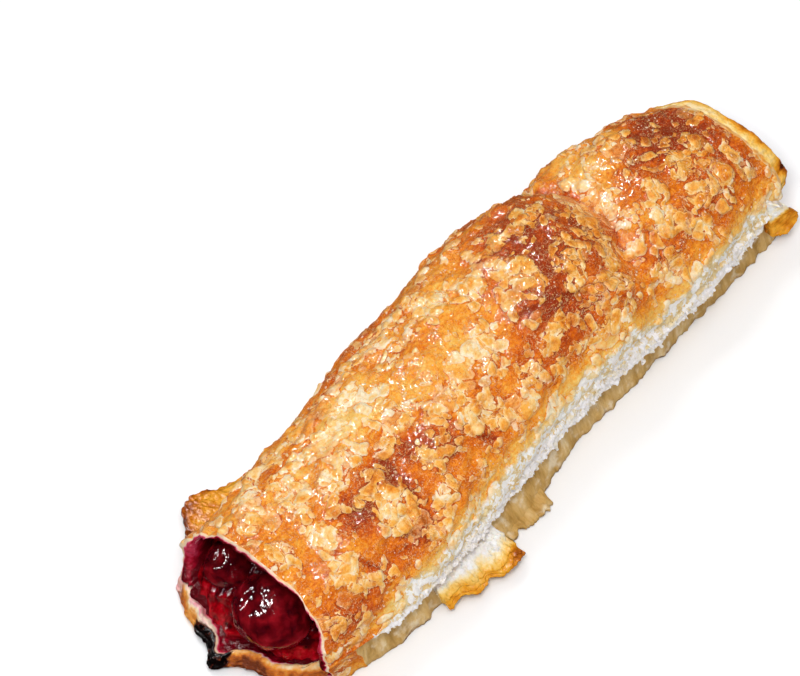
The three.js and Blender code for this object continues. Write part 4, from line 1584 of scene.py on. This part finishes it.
def cherry_skin():
    material, tree, shader = new_material("cherry_skin")
    place = attribute(tree, "rest", "Vector")
    blotch = noise(tree, warped(tree, place, 3.0, 3.0), 4.0, 3.0)
    skin_colour = ramp(tree, blotch, (0.34, "#38030A"), (0.5, "#62060F"), (0.64, "#8A0F1A"), (0.8, "#A82232"))
    set_all(tree, shader, {
        "Base Color": skin_colour,
        "Roughness": step(tree, blotch, 0.3, 0.7, 0.05, 0.12),
        "Normal": bumped(tree, deviation(tree, place, 1.6, 1.0, 2.0), 0.12),
        "Specular IOR Level": 0.5,
        "Subsurface Weight": 0.15,
        "Subsurface Radius": (1.0, 0.1, 0.05),
        "Subsurface Scale": 0.002,
    })
    return material


# %% Cherries
CHERRIES = {  # middle, then radius along each axis
    "cherry_near_large": ((-85.0, -6.4, 13.4), (9.6, 10.2, 9.1)),
    "cherry_near_small": ((-81.0, 10.2, 12.0), (6.8, 6.4, 6.8)),
    "cherry_near_upper": ((-71.4, 2.6, 19.2), (7.2, 7.6, 7.0)),
    "cherry_far_large": ((79.0, 3.4, 13.6), (8.4, 9.4, 9.0)),
    "cherry_far_small": ((78.6, -13.4, 12.4), (6.6, 6.8, 7.0)),
    "cherry_far_upper": ((66.6, -4.5, 19.6), (7.2, 7.6, 7.0)),
}
DIMPLE = np.array([-0.5, 0.25, 0.83])
DIMPLE_DEPTH, DIMPLE_WIDTH = 0.13, 0.34
BALL_DIVISIONS = 6


def cherry(name, middle, radius):
    mesh = bpy.data.meshes.new(name)
    ball = bmesh.new()
    bmesh.ops.create_icosphere(ball, subdivisions=BALL_DIVISIONS, radius=1)
    ball.to_mesh(mesh)
    ball.free()
    unit = np.zeros(len(mesh.vertices) * 3)
    mesh.vertices.foreach_get("co", unit)
    unit = unit.reshape(-1, 3)
    dimple = DIMPLE_DEPTH * bell(np.linalg.norm(unit - DIMPLE, axis=1), 0, DIMPLE_WIDTH)
    shape = unit * (1 - dimple)[:, None] * np.array(radius) + middle
    mesh.vertices.foreach_set("co", placed(shape).ravel())
    mesh.attributes.new("rest", "FLOAT_VECTOR", "POINT").data.foreach_set("vector", shape.ravel())
    mesh.attributes.new("raised", "FLOAT", "POINT").data.foreach_set("value", np.ones(len(unit)))
    mesh.materials.append(CHERRY)
    mesh.shade_smooth()
    piece = bpy.data.objects.new(name, mesh)
    bpy.context.scene.collection.objects.link(piece)
    return piece


def cherry_pattern(tree, into, place):
    dents = product(tree, deviation(tree, place, 6.0, 1.0, 1.0), into["Dents"])
    wrinkles = deviation(tree, warped(tree, place, 2.5, 2.0), 2.2, 1.0, 1.0)
    return calc(tree, "ADD", dents, product(tree, wrinkles, into["Wrinkles"]))


CHERRY = cherry_skin()
CHERRY_SIZES = {"Dents": 1.6, "Wrinkles": 0.3}
CHERRY_TREE = relief_tree("dent_cherries", cherry_pattern, CHERRY_SIZES)
cherry_pieces = {}
for name, (middle, radius) in CHERRIES.items():
    cherry_pieces[name] = apply_tree(cherry(f"{name}_fruit", middle, radius), CHERRY_TREE, CHERRY_SIZES)
print("cherries:", len(cherry_pieces), size_of(cherry_pieces["cherry_near_large"]))

# %% [markdown]
# ## Jam
# The filling is a clear red jelly that climbs up against each cherry and shines like glass. It is bright red
# where it lies low and thin and darker towards the roof, where deeper jelly and painted shade under the crust
# both darken it. Its body runs the whole length of the stick, but only its two faces show, so between them it
# is slimmer and stays clear of the crust. Each face is a fan of rings from its middle to the wall of the
# hollow, leaning back from the lip to the roof, and it swells where a cherry stands in it.

# %% Jam
JAM_INTO_WALL = 0.35
JAM_AROUND, JAM_RINGS, JAM_BODY = 240, 90, 12
JAM_WAIST = 0.8  # share of its width between the faces
CLIMB, CLIMB_REACH, CLIMB_MOST = 1.8, 1.6, 2.6
NEAR_ROOF_X, FAR_ROOF_X = -75, 70  # where the jam's faces meet the roof


def cherry_jam():
    material, tree, shader = new_material("cherry_jam")
    place = attribute(tree, "rest", "Vector")
    height = add(tree, "ShaderNodeSeparateXYZ", {0: place}, 2)
    # darker higher up: deeper jelly, and painted shade under the roof
    thin = total(tree, noise(tree, place, 2.6, 3.0), step(tree, height, 3.5, 13.0, 0.14, -0.14))
    jelly_and_shade = ramp(tree, thin, (0.34, "#3A0106"), (0.48, "#78030B"), (0.62, "#B40616"), (0.8, "#DC2434"))
    set_all(tree, shader, {
        "Base Color": jelly_and_shade,
        "Roughness": 0.05,
        "Normal": bumped(tree, deviation(tree, place, 1.3, 1.0, 2.0), 0.4),
        "Specular IOR Level": 0.5,
        "Subsurface Weight": 0.2,
        "Subsurface Radius": (1.0, 0.08, 0.06),
        "Subsurface Scale": 0.002,
    })
    return material


def near_face(y, z):
    on_lip = near_edge(y, 2 + 0 * y) + 3.6 + SCORCHED_TIP * bell(y, -1.5, 3.2)
    return mix(on_lip, NEAR_ROOF_X, smooth(FLOOR, 20, z)) + 0.5 * np.sin(y * 0.8) * np.sin(z * 0.7)


def far_face(y, z):
    on_lip = far_edge(y, 2 + 0 * y) - 2.6
    return mix(on_lip, FAR_ROOF_X, smooth(FLOOR, 22, z)) + 0.5 * np.sin(y * 0.7 + 2)


def climb(points):
    """How far jam creeps out against the cherries that stand in it."""
    risen = 0
    for middle, radius in CHERRIES.values():
        from_skin = (np.linalg.norm((points - middle) / radius, axis=-1) - 1) * min(radius)
        risen = risen + CLIMB * np.exp(-np.clip(from_skin, 0, 99) / CLIMB_REACH)
    return np.minimum(risen, CLIMB_MOST)


def jam():
    turn = np.linspace(0, 1, JAM_AROUND, endpoint=False)
    faces = []
    for end, face in ((-1, near_face), (1, far_face)):
        s = end + 0 * turn
        for _ in range(3):  # the face leans, so its outline is found in a few steps
            sizes = sizes_at(s * HALF_LENGTH)
            y, z = hollow(*outline(turn, sizes), sizes, s, thicker(s * HALF_LENGTH) - JAM_INTO_WALL)
            s = np.clip(face(y, z) / HALF_LENGTH, -1, 1)
        middle_y, middle_z = np.mean(y), np.mean(z)
        rings = []
        for share in np.linspace(0.02, 1, JAM_RINGS) ** 0.8:
            ring_y, ring_z = mix(middle_y, y, share), mix(middle_z, z, share)
            ring = np.stack([face(ring_y, ring_z), ring_y, ring_z], -1)
            ring[:, 0] += end * climb(ring) * (1 - share**8)
            rings.append(ring)
        faces.append(rings)
    near, far = faces
    body = [mix(near[-1], far[-1], k) for k in np.linspace(0, 1, JAM_BODY)[1:-1]]
    body = [mix(ring.mean(0), ring, JAM_WAIST) for ring in body]
    rings = np.stack(near + body + far[::-1])
    raised = np.ones(rings.shape[:2])
    raised[JAM_RINGS - 1 : JAM_RINGS - 1 + JAM_BODY] = 0  # the rings in and behind the wall
    values = {"rest": rings, "raised": raised}
    return skin_over("jam", rings, [JAM], values)


def jam_pattern(tree, into, place):
    return product(tree, deviation(tree, place, 2.4, 1.0, 2.0), into["Ripples"])


JAM = cherry_jam()
JAM_SIZES = {"Ripples": 1.0}
jam_piece = apply_tree(jam(), relief_tree("ripple_jam", jam_pattern, JAM_SIZES), JAM_SIZES)
print(size_of(jam_piece))

# %% [markdown]
# ## Loose crumbs
# A real stick sheds: splinters of white layers stand on its torn side. There are hundreds, so Geometry Nodes
# scatter them: points on the faces, more of them where the mesh says so, a flat little ball on each, and
# noise that makes every one different.

# %% Scattering
CHIP_INPUTS = {
    "Per Square Millimetre": 0.5, "Least Size": 0.25, "Greatest Size": 0.8, "Thickness": 0.18, "Ragged": 0.35,
    "Tilt": 1.0,
}


def scatter_tree(name, material):
    """Scatters flat irregular chips over a mesh and drops the mesh itself."""
    inputs = [("Geometry", "Geometry", None), ("Seed", "Int", 1)]
    inputs += [(label, "Float", value) for label, value in CHIP_INPUTS.items()]
    tree, into, out = new_group("GeometryNodeTree", name, inputs, [("Geometry", "Geometry")])
    density = product(tree, into["Per Square Millimetre"], 1e6)
    density = product(tree, density, named(tree, "shed"))
    sockets = {"Mesh": into["Geometry"], "Density": density, "Seed": into["Seed"]}
    spots = add(tree, "GeometryNodeDistributePointsOnFaces", sockets)
    facing = spots.node.outputs["Rotation"]
    ball = add(tree, "GeometryNodeMeshIcoSphere", {"Radius": 0.0005, "Subdivisions": 2})

    def draw(least, greatest, seed):
        sockets = {2: least, 3: greatest, "Seed": seed}
        return add(tree, "FunctionNodeRandomValue", sockets, 1, data_type="FLOAT")

    length = draw(into["Least Size"], into["Greatest Size"], 1)
    width = product(tree, length, draw(0.5, 1.0, 2))
    sizes = add(tree, "ShaderNodeCombineXYZ", {0: length, 1: width, 2: into["Thickness"]})
    leans = [product(tree, draw(-1.0, 1.0, seed), into["Tilt"]) for seed in (3, 4)]
    turn = add(tree, "ShaderNodeCombineXYZ", {0: leans[0], 1: leans[1], 2: draw(0.0, 2 * math.pi, 5)})
    spin = add(tree, "FunctionNodeEulerToRotation", {0: turn})
    facing = add(tree, "FunctionNodeRotateRotation", {0: facing, 1: spin}, rotation_space="LOCAL")
    sockets = {"Points": spots, "Instance": ball, "Rotation": facing, "Scale": sizes}
    chips = add(tree, "GeometryNodeInstanceOnPoints", sockets)
    chips = add(tree, "GeometryNodeRealizeInstances", {0: chips})
    place = vector(tree, "SCALE", add(tree, "GeometryNodeInputPosition"), scale=1000.0)
    ragged = vector(tree, "SUBTRACT", noise(tree, place, 0.8, 2.0, "Color"), (0.5, 0.5, 0.5))
    push = vector(tree, "SCALE", ragged, scale=product(tree, into["Ragged"], 0.002))
    chips = add(tree, "GeometryNodeSetPosition", {"Geometry": chips, "Offset": push})
    sockets = {"Geometry": chips, "Name": "rest", "Value": place}
    chips = add(tree, "GeometryNodeStoreNamedAttribute", sockets, data_type="FLOAT_VECTOR", domain="POINT")
    chips = add(tree, "GeometryNodeSetMaterial", {"Geometry": chips, "Material": material})
    tree.links.new(chips, out["Geometry"])
    return tree


def read(piece, label):
    """A mesh attribute as an array."""
    found = piece.data.attributes[label]
    wide = 3 if found.data_type == "FLOAT_VECTOR" else 1
    values = np.zeros(len(piece.data.vertices) * wide, np.float32)
    found.data.foreach_get("vector" if wide == 3 else "value", values)
    return values.reshape(-1, wide).squeeze()


def shed(name, source, where, tree, sizes):
    """A new piece of chips scattered over a copy of a mesh, where its attribute `shed` is set."""
    mesh = source.data.copy()
    mesh.name = name
    mesh.attributes.new("shed", "FLOAT", "POINT").data.foreach_set("value", where.astype(np.float32))
    piece = bpy.data.objects.new(name, mesh)
    bpy.context.scene.collection.objects.link(piece)
    apply_tree(piece, tree, sizes)
    piece.data.shade_smooth()
    return piece


edge_shed = smooth(0.2, 0.9, read(edge_piece, "raised")) * (1.1 - read(edge_piece, "brown"))
crumb_piece = shed("edge_crumbs", edge_piece, edge_shed, scatter_tree("scatter_crumbs", WHITE), {
    **CHIP_INPUTS, "Per Square Millimetre": 0.7, "Least Size": 0.4, "Greatest Size": 1.6, "Thickness": 0.35,
})
print(size_of(crumb_piece))

# %% [markdown]
# ## Stage, light and camera
# A plain white table, wide soft lights and a camera far away with a long lens, because the photograph has
# almost no perspective. The camera is placed from the view's own facts: its angles, how many pixels a
# millimetre takes, and the pixel where the middle of the stick's underside lies. A ring of small lamps, seen
# only in reflections, gives the wet fruit and the fat crust their crisp highlights. The wide lamps and the
# daylight are kept out of reflections, because a big white sheet mirrored in a dark cherry turns it grey.

# %% Camera
PICTURE = (800, 676)
PIXELS_PER_MM = 4.15
ELEVATION, TURN = math.radians(56), math.radians(50.3)
MIDDLE_PIXEL = (480.6, 397.6)
DISTANCE = 3000
SENSOR = 36

back = np.array([
    -math.sin(TURN) * math.cos(ELEVATION), -math.cos(TURN) * math.cos(ELEVATION), math.sin(ELEVATION)
])
right = np.array([math.cos(TURN), -math.sin(TURN), 0])
up = np.cross(back, right)
aim = right * ((PICTURE[0] / 2 - MIDDLE_PIXEL[0]) / PIXELS_PER_MM)
aim = aim + up * ((MIDDLE_PIXEL[1] - PICTURE[1] / 2) / PIXELS_PER_MM)

camera = bpy.data.objects.new("camera", bpy.data.cameras.new("camera"))
camera.data.sensor_width = SENSOR
camera.data.lens = PIXELS_PER_MM * DISTANCE * SENSOR / PICTURE[0]
camera.data.clip_start, camera.data.clip_end = 0.5, 20
axes = Matrix((right, up, back)).transposed().to_4x4()
camera.matrix_world = Matrix.Translation(placed(aim + back * DISTANCE)) @ axes
bpy.context.scene.collection.objects.link(camera)
bpy.context.scene.camera = camera
print("lens:", round(camera.data.lens), "mm")

# %% Stage
bpy.context.scene.view_settings.view_transform = "Standard"
TABLE_REACH = 1.5


def backdrop():
    material, tree, shader = new_material("white_table")
    place = add(tree, "ShaderNodeTexCoord", out="Object")
    faint = noise(tree, place, 0.4, 2.0)
    set_all(tree, shader, {
        "Base Color": tint(tree, faint, colour("#FAFAFA"), colour("#F6F6F6")),
        "Roughness": 0.8,
        "Specular IOR Level": 0.1,
    })
    mesh = bpy.data.meshes.new("table")
    corners = [(-1, -1), (1, -1), (1, 1), (-1, 1)]
    mesh.from_pydata([(TABLE_REACH * x, TABLE_REACH * y, 0) for x, y in corners], [], [(0, 1, 2, 3)])
    mesh.materials.append(material)
    table = bpy.data.objects.new("table", mesh)
    bpy.context.scene.collection.objects.link(table)
    table.visible_glossy = False
    table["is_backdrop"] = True
    print("table:", round(2 * TABLE_REACH, 1), "m square")


backdrop()

# %% Lights
WIDE_LAMPS = (  # name, azimuth, elevation, metres away, metres wide, watts
    ("key", -60, 62, 1.2, 0.25, 5.5),
    ("back_key", 165, 58, 1.2, 0.4, 4.0),
    ("soft", -50, 75, 1.3, 0.9, 6),
    ("fill", 20, 35, 1.3, 0.7, 2.4),
)
SMALL_LAMPS = (
    ("glint_low", -136, 33, 1.3, 0.1, 2.4),
    ("glint_front", -58, 64, 1.3, 0.1, 2.0),
)
GLINTS, GLINT_MIDDLE, GLINT_REACH = 7, (-165, 60), (30, 15)  # a ring of small lamps
DAYLIGHT = 0.28


def lamp(name, azimuth, elevation, distance, size, power_w, mirrored):
    """A square light that looks at the middle of the stick: seen only in mirrors, or left out of them."""
    a, e = math.radians(azimuth), math.radians(elevation)
    away = Vector((math.sin(a) * math.cos(e), -math.cos(a) * math.cos(e), math.sin(e)))
    light = bpy.data.lights.new(name, "AREA")
    light.shape, light.size, light.energy = "SQUARE", size, power_w
    made = bpy.data.objects.new(name, light)
    made.location = away * distance
    made.rotation_euler = away.to_track_quat("Z", "Y").to_euler()
    made.visible_glossy, made.visible_diffuse = mirrored, not mirrored
    bpy.context.scene.collection.objects.link(made)


def daylight(strength):
    world = bpy.data.worlds.new("daylight")
    world.use_nodes = True
    sky = world.node_tree.nodes["Background"].inputs
    sky["Color"].default_value = colour("#F4F7FF")
    sky["Strength"].default_value = strength
    world.cycles_visibility.glossy = False
    bpy.context.scene.world = world


for settings in WIDE_LAMPS:
    lamp(*settings, mirrored=False)
for n in range(GLINTS):  # wrinkled skin breaks up the ring's mirror image
    turn = 2 * math.pi * n / GLINTS
    azimuth = GLINT_MIDDLE[0] + GLINT_REACH[0] * math.cos(turn)
    elevation = GLINT_MIDDLE[1] + GLINT_REACH[1] * math.sin(turn)
    lamp(f"glint_{n}", azimuth, elevation, 1.3, 0.09, 3.2, mirrored=True)
for settings in SMALL_LAMPS:
    lamp(*settings, mirrored=True)
daylight(DAYLIGHT)

# %% [markdown]
# ## Joining the solid model
# Every piece rides on the solid model's one body and hides the node whose place it takes.

# %% Bodies and nodes
PASTRY_PIECES = (
    roll_piece, edge_piece, flap_piece, flange_piece, scrap_piece,
    corner_piece, lip_piece, collar_piece, crumb_piece,
)
STANDS_FOR = [(piece, "pastry", "pastry") for piece in PASTRY_PIECES]
STANDS_FOR += [(jam_piece, "cherry_filling", "cherry_jam")]
STANDS_FOR += [(piece, node, "cherry") for node, piece in cherry_pieces.items()]
for piece, node, finish in STANDS_FOR:
    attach(piece, "root")
    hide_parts(node)
print("pieces:", len(STANDS_FOR))

# %% Sizes, and the end
visual_box = [list(corner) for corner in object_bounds()]
print("size:", cad_box, visual_box)
